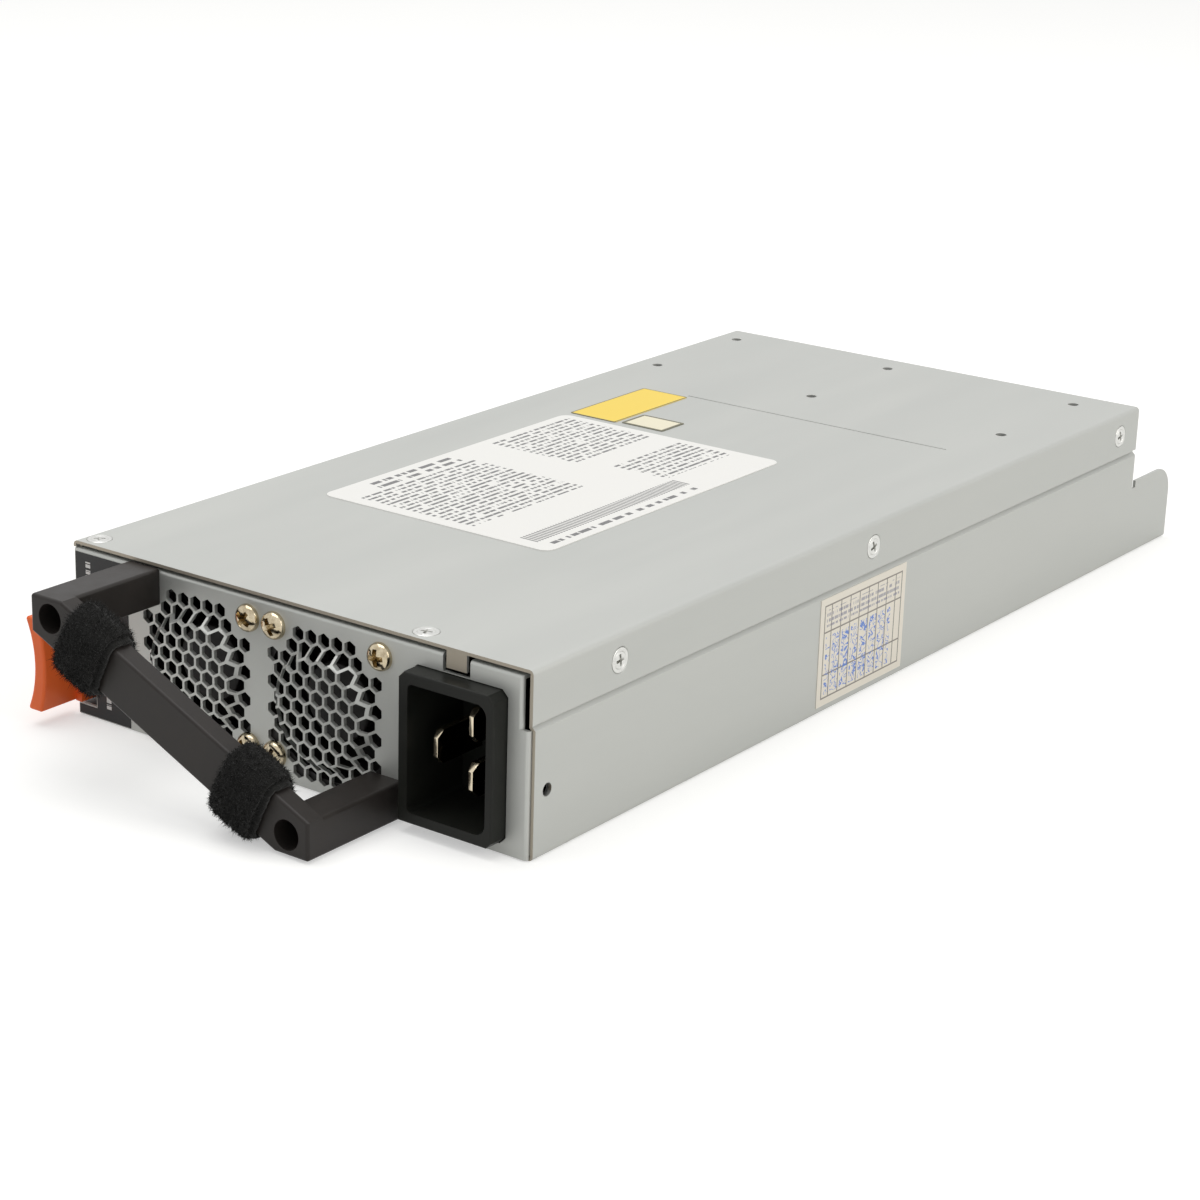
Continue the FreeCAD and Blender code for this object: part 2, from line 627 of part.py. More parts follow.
def front_panel():
    plate = panel_plate()
    raised = [plate]
    hollow = []
    for index, fan in enumerate(("fan_one", "fan_two")):
        across = f"{fan} - grille_left"
        raised.append(cone(f"emboss{index}", "emboss_root", "emboss_top", "emboss_height",
                           (across, "front", "grille_height"), "-Y"))
        hollow.append(cone(f"emboss_inside{index}", "emboss_root - seam", "emboss_top - seam",
                           "emboss_height", (across, "panel_back", "grille_height"), "-Y"))
    holes = [rod(f"panel_hole{index}", "panel_hole_radius", "panel_gauge * 3",
                 (across, "front - panel_gauge", up), "Y")
             for index, (across, up) in enumerate(FAN_SCREWS + HANDLE_SCREWS)]
    opening = new_body("inlet_opening")
    pad(opening, inlet_outline(opening, "inlet_hole", "panel_back + panel_gauge", "opening_play"),
        "panel_gauge * 3", "inlet_hole_block")
    seats = countersinks("panel_top", top_screw_points(), "-Z")
    embossed = fuse("embossed_panel", *raised)
    pressed = cut("pressed_panel", embossed, *(hollow + holes + [opening] + seats))
    node(cut("front_panel", pressed, honeycomb()), "front_panel")


def flush_screws(name, points, along):
    """Countersunk screws whose heads lie just under the sheet's face."""
    screws = []
    for index, at in enumerate(points):
        head = cone(f"{name}_head{index}", "dimple_radius - head_play", "screw_radius - head_play",
                    "dimple_depth", at, along)
        shank = rod(f"{name}_shank{index}", "screw_radius - screw_play", "flush_screw_length",
                    at, along)
        screws.append(fuse(f"{name}{index}", head, shank))
    return screws


def housing_screws():
    sides = flush_screws("side_screw_r", side_screw_points("right"), "-X")
    sides += flush_screws("side_screw_l", side_screw_points("left"), "X")
    node(group("side_screws", *sides), "side_screws")
    node(group("top_screws", *flush_screws("top_screw", top_screw_points(), "-Z")), "top_screws")


# ---------------------------------------------------------------- fans
def fan_frame(name, centre):
    """Square fan case with a round duct, corner holes and a spider that carries the motor."""
    half = "fan_size / 2 - fan_gap / 2"
    body = new_body(name + "_case")
    square = sketch(body, name + "_square", "XZ", "fan_front")
    notch = "fan_corner"
    outline(square, [
        (f"{centre} - ({half}) + {notch}", f"fan_height - ({half})"),
        (f"{centre} + ({half}) - {notch}", f"fan_height - ({half})"),
        (f"{centre} + ({half})", f"fan_height - ({half}) + {notch}"),
        (f"{centre} + ({half})", f"fan_height + ({half}) - {notch}"),
        (f"{centre} + ({half}) - {notch}", f"fan_height + ({half})"),
        (f"{centre} - ({half}) + {notch}", f"fan_height + ({half})"),
        (f"{centre} - ({half})", f"fan_height + ({half}) - {notch}"),
        (f"{centre} - ({half})", f"fan_height - ({half}) + {notch}"),
    ])
    pad(body, square, "fan_depth", name + "_block", backwards=True)
    duct = sketch(body, name + "_duct_circle", "XZ", "fan_front")
    circle(duct, (centre, "fan_height"), "duct_radius")
    pocket(body, duct, "fan_depth * 2", name + "_duct")
    bores = sketch(body, name + "_bores", "XZ", "fan_front")
    for across in ("-", "+"):
        for up in ("-", "+"):
            circle(bores, (f"{centre} {across} screw_pitch / 2", f"fan_height {up} screw_pitch / 2"),
                   "fan_hole_radius")
    pocket(body, bores, "fan_depth * 2", name + "_holes")

    back = "fan_front + fan_depth - spider_depth"
    disc = rod(name + "_disc", "hub_radius", "spider_depth", (centre, back, "fan_height"), "Y")
    motor = rod(name + "_stator", "stator_radius", "stator_length",
                (centre, f"{back} - stator_length", "fan_height"), "Y")
    reach = "(duct_radius + duct_wall / 2)"
    wide = box(name + "_strut_wide", (f"{reach} * 2", "spider_depth", "strut_width"),
               (f"{centre} - {reach}", back, "fan_height - strut_width / 2"))
    tall = box(name + "_strut_tall", ("strut_width", "spider_depth", f"{reach} * 2"),
               (f"{centre} - strut_width / 2", back, f"fan_height - {reach}"))
    bearing = rod(name + "_bearing", "shaft_radius + shaft_gap", "stator_length + spider_depth / 2",
                  (centre, f"{back} - stator_length", "fan_height"), "Y")
    carried = fuse(name + "_carried", body, disc, motor, wide, tall)
    node(cut(name, carried, bearing), name)


def fan_rotor(name, centre):
    """Hub cup, shaft and twisted blades, drawn about the rotor's own axis."""
    body = new_body(name + "_blades")
    face = sketch(body, name + "_hub_circle", "XZ", "0")
    circle(face, ("0", "0"), "hub_radius")
    pad(body, face, "hub_length", name + "_hub", backwards=True)
    rim = lambda middle, along, edge: near(edge.BoundBox.YMax, 0)
    round_edges(body, "hub_edge", name + "_hub_rim", rim)
    hollow = sketch(body, name + "_cup_circle", "XZ", "hub_wall")
    circle(hollow, ("0", "0"), "stator_radius + stator_gap")
    pocket(body, hollow, "hub_length", name + "_cup")
    stem = sketch(body, name + "_shaft_circle", "XZ", "0")
    circle(stem, ("0", "0"), "shaft_radius")
    pad(body, stem, "hub_length - hub_wall", name + "_shaft", backwards=True)

    sections = []
    for where, rise, run in (("hub_radius - hub_wall / 2", "root_rise", "root_run"),
                             ("rotor_radius + tip_gap / 2", "tip_rise", "tip_run")):
        profile = sketch(body, f"{name}_profile{len(sections)}", "YZ", where)
        centre_y = "hub_length / 2"
        outline(profile, [
            (f"{centre_y} - {rise}", f"-{run}"),
            (f"{centre_y} - {rise} + blade_thick", f"-{run}"),
            (f"{centre_y} + {rise}", f"{run}"),
            (f"{centre_y} + {rise} - blade_thick", f"{run}"),
        ])
        sections.append(profile)
    blade = body.newObject("PartDesign::AdditiveLoft", name + "_blade")
    blade.Profile = sections[0]
    blade.Sections = [sections[1]]
    doc.recompute()
    ring = body.newObject("PartDesign::PolarPattern", name + "_ring")
    ring.Originals = [blade]
    axis = next(item for item in body.Origin.OriginFeatures if item.Role == "Y_Axis")
    ring.Axis = (axis, [""])
    ring.Angle = 360
    ring.setExpression("Occurrences", bound("blade_count"))
    body.Tip = ring
    doc.recompute()
    place(body, (centre, "fan_front + rotor_inset", "fan_height"))
    sweep = rod(name + "_sweep", "rotor_radius", "hub_length",
                (centre, "fan_front + rotor_inset", "fan_height"), "Y")
    turned = doc.addObject("Part::Common", name)
    turned.Base = body
    turned.Tool = sweep
    node(turned, name)


def fan_screws():
    screws = []
    for index, (across, up) in enumerate(FAN_SCREWS):
        head = rod(f"fan_screw_head{index}", "fan_head_radius", "fan_head_height",
                   (across, "front - fan_head_height", up), "Y")
        shank = rod(f"fan_screw_shank{index}", "fan_screw_radius", "fan_screw_length",
                    (across, "front", up), "Y")
        screws.append(fuse(f"fan_screw{index}", head, shank))
    node(group("fan_screws", *screws), "fan_screws")


# ---------------------------------------------------------------- handle and straps
def handle():
    """One moulding: two arms that stand off the panel and a slanted bar between their ends."""
    body = new_body("handle")
    face = sketch(body, "handle_face", "XZ", "handle_front + bar_depth")
    outline(face, [
        ("handle_left", "handle_top"), ("handle_left + arm_width", "handle_top"),
        ("handle_right", "handle_low + arm_tall"), ("handle_right", "handle_low"),
        ("handle_right - arm_width", "handle_low"), ("handle_left", "handle_top - arm_tall"),
    ])
    pad(body, face, "bar_depth", "bar")
    arms = sketch(body, "handle_arms", "XZ", "front")
    rectangle(arms, ("handle_left", "handle_top - arm_tall"), ("handle_left + arm_width", "handle_top"))
    rectangle(arms, ("handle_right - arm_width", "handle_low"), ("handle_right", "handle_low + arm_tall"))
    pad(body, arms, "handle_reach", "arms")
    long_edges = lambda middle, along, edge: abs(along.y) > 0.99 and edge.Length > value("bar_depth * 2")
    round_edges(body, "handle_edge", "arm_edges", long_edges)
    front_ridge = lambda middle, along, edge: near(middle.y, value("handle_front"))
    round_edges(body, "handle_edge", "front_edges", front_ridge)

    wells = sketch(body, "handle_wells", "XZ", "handle_front")
    for (across, up), outwards, upwards in zip(HANDLE_SCREWS, "-+", "+-"):
        centre = (f"{across} {outwards} well_across", f"{up} {upwards} well_up")
        circle(wells, centre, "well_radius")
    pocket(body, wells, "handle_reach - handle_floor - seat_depth", "wells")
    for name, radius, depth in (
            ("seat", "seat_radius", "handle_reach - handle_floor"),
            ("screw_hole", "fan_screw_radius + screw_play * 4", "handle_reach")):
        circles = sketch(body, f"handle_{name}_circles", "XZ", "handle_front")
        for centre in HANDLE_SCREWS:
            circle(circles, centre, radius)
        pocket(body, circles, depth, f"{name}s")
    node(body, "handle")


def handle_screws():
    screws = []
    for index, (across, up) in enumerate(HANDLE_SCREWS):
        head = rod(f"handle_screw_head{index}", "handle_head_radius", "handle_head_height",
                   (across, "front - handle_floor - handle_head_height", up), "Y")
        shank = rod(f"handle_screw_shank{index}", "fan_screw_radius", "handle_floor + fan_screw_length",
                    (across, "front - handle_floor", up), "Y")
        screws.append(fuse(f"handle_screw{index}", head, shank))
    node(group("handle_screws", *screws), "handle_screws")


def strap(name, side):
    """A hook and loop tie: a flat ring round the bar, drawn square to the bar's length."""
    run = value("handle_right - handle_left - arm_width")
    drop = value("handle_top - handle_low - arm_tall")
    length = (run ** 2 + drop ** 2) ** 0.5
    along = V(run / length, 0, -drop / length)
    across = V(drop / length, 0, run / length)
    # half of the bar's width, square to its length
    bar_half = (value("arm_width") * drop + value("arm_tall") * run) / length / 2

    body = new_body(name)
    section = sketch(body, name + "_section", "XY")
    deep = "(bar_depth / 2 + strap_gap)"
    wide = f"({bar_half} + strap_gap)"
    rectangle(section, (f"-{wide} - strap_thick", f"-{deep} - strap_thick"),
              (f"{wide} + strap_thick", f"{deep} + strap_thick"))
    rectangle(section, (f"-{wide}", f"-{deep}"), (wide, deep))
    pad(body, section, "strap_width", name + "_ring")
    outer_half = bar_half + value("strap_gap + strap_thick")
    outer = lambda middle, along, edge: abs(along.z) > 0.99 and near(abs(middle.x), outer_half)
    round_edges(body, "strap_fold", name + "_folds", outer)
    inner_half = bar_half + value("strap_gap")
    inner = lambda middle, along, edge: abs(along.z) > 0.99 and near(abs(middle.x), inner_half)
    round_edges(body, "strap_inner_fold", name + "_inner_folds", inner)

    middle = V(value("fan_pair"), value("handle_front + bar_depth / 2"), value("fan_height"))
    reach = length / 2 - value("strap_end")
    start = middle + along * (side * reach - value("strap_width") / 2)
    body.Placement = FreeCAD.Placement(start, FreeCAD.Rotation(across, V(0, 1, 0), along, "ZXY"))
    node(body, name)


# ---------------------------------------------------------------- release latch
def paddle():
    """Thumb paddle: bowed on the inner side, scooped on the outer side, with soft edges."""
    outer = "left - paddle_out"
    middle = "latch_mid"
    tip = "front - paddle_reach"
    run = "paddle_reach * 1.5"
    blank = box("paddle_blank", ("paddle_out + paddle_in", "paddle_reach", "latch_high - latch_low"),
                (outer, tip, "latch_low"))
    bulge = rod("paddle_bulge", "bulge_radius", run,
                ("left + paddle_in - bulge_radius", f"{tip} - paddle_edge", middle), "Y")
    scoop = rod("paddle_scoop", "scoop_radius", run,
                (f"{outer} + scoop_depth - scoop_radius", f"{tip} - paddle_edge", middle), "Y")
    bowed = doc.addObject("Part::Common", "paddle_bowed")
    bowed.Base = blank
    bowed.Tool = bulge
    hollowed = cut("paddle_hollowed", bowed, scoop)
    doc.recompute()
    soft = doc.addObject("Part::Fillet", "paddle")
    soft.Base = hollowed
    radius = value("paddle_edge")
    not_rear = lambda centre, along, edge: edge.BoundBox.YMin < value("front") - radius
    names = edge_names(hollowed.Shape, not_rear)
    soft.Edges = [(int(name[4:]), radius, radius) for name in names]
    return soft


def latch_lever():
    """Moulded lever: a thumb paddle, a thin arm, a catch and a hub for the pin."""
    inside = "left + lever_inset"
    arm = box("latch_arm", ("lever_thick", "pivot_back + paddle_edge * 2", "latch_high - latch_low"),
              (inside, "front - paddle_edge * 2", "latch_low"))
    hub = rod("latch_hub", "lever_hub", "latch_high - latch_low", ("pivot_x", "pivot_y", "latch_low"))
    catch = new_body("latch_catch")
    ramp = sketch(catch, "catch_outline", "XY", "catch_low")
    outline(ramp, [
        (f"{inside} + lever_thick / 4", "front + catch_back"),
        ("left - catch_out", "front + catch_back"),
        ("left - catch_out", "front + catch_back + catch_flat"),
        (f"{inside} + lever_thick / 4", "front + catch_back + catch_length"),
    ])
    pad(catch, ramp, "catch_high - catch_low", "catch_block")
    whole = fuse("latch_whole", paddle(), arm, hub, catch)
    bore = rod("latch_bore", "pivot_radius + pivot_gap", "height", ("pivot_x", "pivot_y", "0"))
    node(cut("latch_lever", whole, bore), "latch_lever")


def latch_bracket():
    """Folded pan behind the window in the left wall. It carries the lever's pin."""
    inner = "left + gauge + seam"
    back = "panel_back + seam"
    outside = box("pan_outside",
                  ("pocket_depth - seam", "pocket_length", "pocket_high - pocket_low + gauge * 2"),
                  (inner, back, "pocket_low - gauge"))
    hollow = box("pan_hollow",
                 ("pocket_depth - gauge - seam", "pocket_length - gauge", "pocket_high - pocket_low"),
                 (inner, back, "pocket_low"))
    holes = rod("pan_pin_holes", "pivot_radius + pivot_ear_gap", "height", ("pivot_x", "pivot_y", "0"))
    node(cut("latch_bracket", outside, hollow, holes), "latch_bracket")


def latch_pin():
    node(rod("latch_pin", "pivot_radius", "pocket_high - pocket_low + gauge * 2",
             ("pivot_x", "pivot_y", "pocket_low - gauge")), "latch_pin")


def latch_spring():
    """Leaf spring: a foot on the pan's web and a slanted leaf that pushes on the arm."""
    body = new_body("latch_spring")
    strip = sketch(body, "leaf_outline", "XY", "latch_mid - leaf_width / 2")
    foot = "web_face - seam / 2"
    tip = "lever_face + leaf_gap"
    end = "front + leaf_root + leaf_foot"
    outline(strip, [
        (foot, end), (foot, "front + leaf_root"),
        (f"{tip} + leaf_thick", "front + leaf_bend"),
        (f"{tip} + leaf_thick + leaf_curl", "front + leaf_start"),
        (f"{tip} + leaf_curl", "front + leaf_start - leaf_gap"), (tip, "front + leaf_bend"),
        (f"{foot} - leaf_thick", "front + leaf_root + leaf_gap / 2"), (f"{foot} - leaf_thick", end),
    ])
    pad(body, strip, "leaf_width", "leaf")
    node(body, "latch_spring")


# ---------------------------------------------------------------- mains inlet
def inlet_outline(body, name, offset, play):
    """The inlet's outline grown by a play: square at the lower left, bevelled at the other corners."""
    drawing = sketch(body, name, "XZ", offset)
    left_side = f"inlet_x - inlet_width / 2 - {play}"
    right_side = f"inlet_x + inlet_width / 2 + {play}"
    low = f"inlet_height - inlet_tall / 2 - {play}"
    high = f"inlet_height + inlet_tall / 2 + {play}"
    return outline(drawing, [
        (left_side, low),
        (f"{right_side} - inlet_chamfer", low), (right_side, f"{low} + inlet_chamfer"),
        (right_side, f"{high} - inlet_chamfer"), (f"{right_side} - inlet_chamfer", high),
        (f"{left_side} + inlet_chamfer", high), (left_side, f"{high} - inlet_chamfer"),
    ])


def inlet_housing():
    """Inlet moulding: it stands proud of the panel and holds three flat pins in a deep cavity."""
    body = new_body("inlet_shell")
    shape = inlet_outline(body, "inlet_shape", "front + inlet_depth", "0")
    pad(body, shape, "inlet_depth + inlet_proud", "inlet_block")
    face_edges = lambda middle, along, edge: near(middle.y, value("pin_tip"))
    round_edges(body, "inlet_edge", "face_round", face_edges)
    cavity = sketch(body, "cavity_outline", "XZ", "pin_tip")
    rectangle(cavity, ("cavity_x - cavity_width / 2", "inlet_height - cavity_tall / 2"),
              ("cavity_x + cavity_width / 2", "inlet_height + cavity_tall / 2"))
    pocket(body, cavity, "cavity_depth", "cavity")
    inner_x = value("cavity_x + cavity_width / 2")
    deep = lambda middle, along, edge: (
        abs(along.y) > 0.99 and near(middle.x, inner_x))
    round_edges(body, "cavity_corner", "cavity_round", deep)
    other_x = value("cavity_x - cavity_width / 2")
    sharp = lambda middle, along, edge: (
        abs(along.y) > 0.99 and near(middle.x, other_x))
    round_edges(body, "cavity_sharp", "cavity_small_round", sharp)
    slots = []
    for index, (across, up) in enumerate(pin_centres()):
        slots.append(pin_slot(f"pin_slot{index}", across, up, "front", "inlet_depth * 2"))
    node(cut("inlet_housing", body, *slots), "inlet_housing")


def pin_slot(name, across, up, start, length):
    """Room for one flat pin, with a little play all round."""
    return box(name, ("pin_thick + 2 * pin_play", length, "blade_wide + 2 * pin_play"),
               (f"{across} - pin_thick / 2 - pin_play", start, f"{up} - blade_wide / 2 - pin_play"))


def pin_centres():
    return [
        ("inlet_x - earth_offset", "inlet_height"),
        ("inlet_x + live_offset", "inlet_height + pin_spacing / 2"),
        ("inlet_x + live_offset", "inlet_height - pin_spacing / 2"),
    ]


def inlet_pins():
    """Earth, line and neutral: flat pins with bevelled tips that end as solder tags."""
    pins = []
    for index, (across, up) in enumerate(pin_centres()):
        recess = "earth_recess" if index == 0 else "live_recess"
        body = new_body(f"inlet_pin{index}")
        side = sketch(body, f"pin_side{index}", "YZ", f"{across} - pin_thick / 2")
        tip = f"pin_tip + {recess}"
        end = "front + inlet_depth + tag_length"
        outline(side, [
            (tip, f"{up} - blade_wide / 2 + pin_chamfer"),
            (f"{tip} + pin_chamfer", f"{up} - blade_wide / 2"),
            (end, f"{up} - blade_wide / 2"),
            (end, f"{up} + blade_wide / 2"),
            (f"{tip} + pin_chamfer", f"{up} + blade_wide / 2"),
            (tip, f"{up} + blade_wide / 2 - pin_chamfer"),
        ])
        pad(body, side, "pin_thick", f"pin_block{index}")
        pins.append(body)
    node(group("inlet_pins", *pins), "inlet_pins")


def filter_board():
    """Upright board that the inlet's tags pass through, standing on the main board."""
    start = "front + inlet_depth + filter_board_back"
    plate = box("filter_plate", ("inlet_width", "board_thick", "filter_board_tall"),
                ("inlet_x - inlet_width / 2", start, "board_top"))
    slots = [pin_slot(f"tag_slot{index}", across, up, f"{start} - board_thick", "board_thick * 3")
             for index, (across, up) in enumerate(pin_centres())]
    node(cut("filter_board", plate, *slots), "filter_board")


# ---------------------------------------------------------------- circuit board and its parts
def mounting_points():
    """Where the main board is screwed down. The front left place keeps clear of the latch's pan."""
    side = "(board_half - standoff_inset)"
    first = "board_front + standoff_inset"
    middle = "(board_front + board_rear) / 2"
    last = "board_rear - standoff_inset"
    return [
        ("-board_half + standoff_shift", first), (side, first),
        (f"-{side}", middle), (side, middle),
        (f"-{side}", last), (side, last),
    ]


def main_board():
    """Main board with its card edge, which reaches out between the rear tabs."""
    body = new_body("main_board")
    shape = sketch(body, "board_outline", "XY", "board_height")
    outline(shape, [
        ("-board_half", "board_front + board_notch_length"),
        ("-board_half + board_notch", "board_front + board_notch_length"),
        ("-board_half + board_notch", "board_front"), ("board_half", "board_front"),
        ("board_half", "board_rear"), ("edge_half", "board_rear"),
        ("edge_half", "edge_end - edge_bevel"), ("edge_half - edge_bevel", "edge_end"),
        ("-edge_half + edge_bevel", "edge_end"), ("-edge_half", "edge_end - edge_bevel"),
        ("-edge_half", "board_rear"), ("-board_half", "board_rear"),
    ])
    pad(body, shape, "board_thick", "board_plate")
    holes = sketch(body, "board_holes", "XY", "board_top")
    for centre in mounting_points():
        circle(holes, centre, "board_screw_radius + screw_play * 2")
    pocket(body, holes, "board_thick * 2", "mounting_holes")
    node(body, "main_board")


def board_standoffs():
    """Round posts pressed into the tray's floor, with threaded tops."""
    posts = []
    for index, (across, back) in enumerate(mounting_points()):
        post = rod(f"post{index}", "standoff_radius", "board_height - gauge", (across, back, "gauge"))
        thread = rod(f"post_thread{index}", "board_screw_radius + screw_play", "thread_depth",
                     (across, back, "board_height - thread_depth"))
        posts.append(cut(f"standoff{index}", post, thread))
    node(group("board_standoffs", *posts), "board_standoffs")


def board_screws():
    screws = []
    for index, (across, back) in enumerate(mounting_points()):
        head = rod(f"board_head{index}", "board_head_radius", "board_head_height",
                   (across, back, "board_top"))
        shank = rod(f"board_shank{index}", "board_screw_radius", "board_thick + board_screw_end",
                    (across, back, "board_height - board_screw_end"))
        screws.append(fuse(f"board_screw{index}", head, shank))
    node(group("board_screws", *screws), "board_screws")


def insulation_film():
    """Film between the board's solder side and the tray's floor, with holes for the posts."""
    film = box("film_plate",
               ("(board_half - film_inset) * 2", "board_rear - board_front - film_end * 2", "film_thick"),
               ("-board_half + film_inset", "board_front + film_end", "gauge + seam / 2"))
    gaps = [rod(f"film_gap{index}", "standoff_radius + film_thick", "board_height", (across, back, "0"))
            for index, (across, back) in enumerate(mounting_points())]
    node(cut("insulation_film", film, *gaps), "insulation_film")


def standing_cans(name, radius, tall, points):
    """Round capacitors standing on the board."""
    cans = [rod(f"{name}_can{index}", radius, tall, (across, back, "board_top"))
            for index, (across, back) in enumerate(points)]
    node(group(name, *cans), name)


def capacitors():
    bulk = [("left + bulk_left", f"front + bulk_front + {index} * bulk_pitch") for index in range(2)]
    standing_cans("bulk_capacitors", "bulk_radius", "bulk_tall", bulk)
    output = [(f"left + output_left + {index} * output_pitch", "rear - output_rear")
              for index in range(8)]
    standing_cans("output_capacitors", "output_radius", "output_tall", output)
    boxes = [box(f"filter_capacitor{index}", ("film_can_width", "film_can_length", "film_can_tall"),
                 (f"left + film_can_left + {index} * film_can_pitch", "front + film_can_front",
                  "board_top"))
             for index in range(2)]
    node(group("filter_capacitors", *boxes), "filter_capacitors")


def heat_sink(name, left_side, start, length):
    """Extruded sink: a foot plate, an upright web and short fins on one side."""
    fins = 4
    body = new_body(name)
    section = sketch(body, name + "_section", "XZ", f"{start} + {length}")
    web = f"{left_side} + sink_thick"
    tip = f"{left_side} + sink_foot"
    points = [(left_side, "board_top"), (tip, "board_top"),
              (tip, "board_top + sink_base"), (web, "board_top + sink_base")]
    for index in range(1, fins + 1):
        low = f"board_top + (sink_tall - sink_base) * {index} / {fins} - sink_fin"
        points += [(web, low), (tip, low), (tip, f"{low} + sink_fin")]
        points.append((web if index < fins else left_side, f"{low} + sink_fin"))
    outline(section, points)
    pad(body, section, length, name + "_extrusion")
    node(body, name)


def packages(name, count, width, tall, pitch, face, start):
    """Power transistors clamped to the flat side of a heat sink."""
    items = [box(f"{name}_{index}", ("package_thick", width, tall),
                 (f"{face} - package_gap - package_thick", f"{start} + package_start + {index} * {pitch}",
                  "board_top"))
             for index in range(count)]
    node(group(name, *items), name)


def heat_sinks():
    heat_sink("primary_heat_sink", "left + primary_sink_left", "front + primary_sink_front",
              "primary_sink_length")
    packages("primary_transistors", 4, "primary_package_width", "primary_package_tall",
             "primary_package_pitch", "left + primary_sink_left", "front + primary_sink_front")
    heat_sink("secondary_heat_sink", "left + secondary_sink_left", "secondary_sink_y",
              "secondary_sink_length")
    packages("secondary_transistors", 5, "secondary_package_width", "secondary_package_tall",
             "secondary_package_pitch", "left + secondary_sink_left", "secondary_sink_y")


def choke(name, across, back):
    """A coil wound on a ring core, lying flat on the board."""
    inner = name + "_inner"
    outer = name + "_outer"
    tall = name + "_tall"
    edge = "choke_bevel"
    body = new_body(name)
    section = sketch(body, name + "_section", "XZ")
    outline(section, [
        (f"{inner} + {edge}", "0"), (f"{outer} - {edge}", "0"),
        (outer, edge), (outer, f"{tall} - {edge}"),
        (f"{outer} - {edge}", tall), (f"{inner} + {edge}", tall),
        (inner, f"{tall} - {edge}"), (inner, edge),
    ])
    turned = body.newObject("PartDesign::Revolution", name + "_ring")
    turned.Profile = section
    axis = next(item for item in body.Origin.OriginFeatures if item.Role == "Z_Axis")
    turned.ReferenceAxis = (axis, [""])
    turned.Angle = 360
    doc.recompute()
    place(body, (across, back, "board_top"))
    node(body, name)


def chokes():
    choke("filter_choke", "left + filter_choke_left", "front + filter_choke_front")
    choke("boost_choke", "left + boost_choke_left", "front + boost_choke_front")
    choke("output_choke", "left + output_choke_left", "rear - output_choke_rear")


def transformer():
    """Ferrite core with two windows, and a coil wound round its middle leg."""
    frame = box("core_frame", ("core_width", "core_length", "core_tall"), ("core_x", "core_y", "board_top"))
    windows = [box(f"core_window{index}",
                   ("core_window", "core_length * 2", "core_tall - 2 * core_yoke"),
                   (across, "core_y - core_length / 2", "board_top + core_yoke"))
               for index, across in enumerate(("core_x + core_leg",
                                               "core_x + core_width - core_leg - core_window"))]
    node(cut("transformer_core", frame, *windows), "transformer_core")

    leg_x = "core_x + core_leg + core_window"
    leg_width = "(core_width - 2 * core_leg - 2 * core_window)"
    coil = box("coil_block",
               ("core_width - 2 * core_leg - 2 * coil_gap", "core_length + 2 * coil_proud",
                "core_tall - 2 * core_yoke - 2 * coil_gap"),
               ("core_x + core_leg + coil_gap", "core_y - coil_proud",
                "board_top + core_yoke + coil_gap"))
    leg = box("coil_leg", (f"{leg_width} + 2 * coil_gap", "core_length + 2 * coil_gap", "core_tall"),
              (f"{leg_x} - coil_gap", "core_y - coil_gap", "board_top"))
    node(cut("transformer_winding", coil, leg), "transformer_winding")


def control_card():
    """Upright control board beside the transformer, with its socket strip."""
    across = "left + card_left"
    back = "front + card_front"
    node(box("control_card", ("board_thick", "card_length", "card_tall"),
             (across, back, "board_top + socket_tall")), "control_card")
    node(box("control_socket", ("socket_width", "card_length", "socket_tall"),
             (f"{across} + board_thick / 2 - socket_width / 2", back, "board_top")), "control_socket")


def bus_bars():
    """Two folded copper bars from the rectifiers to the card edge."""
    bars = []
    start = "rear - bar_rear - bar_length"
    for index in range(2):
        across = f"left + bar_left + {index} * bar_pitch"
        rail = box(f"bar_rail{index}", ("bar_thick", "bar_length", "bar_tall"), (across, start, "board_top"))
        foot = box(f"bar_foot{index}", ("bar_foot", "bar_length", "bar_foot_thick"),
                   (across, start, "board_top"))
        bars.append(fuse(f"bus_bar{index}", rail, foot))
    node(group("bus_bars", *bars), "bus_bars")


# rows of fingers on the card edge: how many, first one's left side, width, pitch
FINGER_ROWS = (
    (6, -39.0, 5.0, 6.0),      # power
    (4, 0.0, 1.5, 2.5),        # signals
    (5, 12.0, 4.5, 5.5),       # return
)


def edge_contacts():
    """Gold fingers on both faces of the card edge: wide ones for power, narrow ones for signals."""
    fingers = []
    start = "edge_end - finger_back - finger_length"
    for row, (count, first, wide, pitch) in enumerate(FINGER_ROWS):
        for index in range(count):
            for side, low in (("top", "board_top"), ("under", "board_height - finger_thick")):
                fingers.append(box(f"finger_{side}_{row}_{index}",
                                   (str(wide), "finger_length", "finger_thick"),
                                   (str(first + index * pitch), start, low)))
    node(group("edge_contacts", *fingers), "edge_contacts")


# ---------------------------------------------------------------- labels
def flat_label(name, prefix, corner):
    """A thin label on the cover."""
    body = new_body(name)
    shape = sketch(body, name + "_outline", "XY", "height")
    across = f"left + {prefix}_left"
    back = f"front + {prefix}_front"
    rectangle(shape, (across, back), (f"{across} + {prefix}_width", f"{back} + {prefix}_length"))
    pad(body, shape, "label_thick", name + "_sheet")
    upright = lambda middle, along, edge: abs(along.z) > 0.99
    round_edges(body, corner, name + "_corners", upright)
    node(body, name)


def side_sticker():
    body = new_body("side_sticker")
    shape = sketch(body, "side_sticker_outline", "YZ", "right")
    back = "front + side_label_front"
    rectangle(shape, (back, "side_label_low"), (f"{back} + side_label_length", "side_label_high"))
    pad(body, shape, "label_thick", "side_sticker_sheet")
    node(body, "side_sticker")


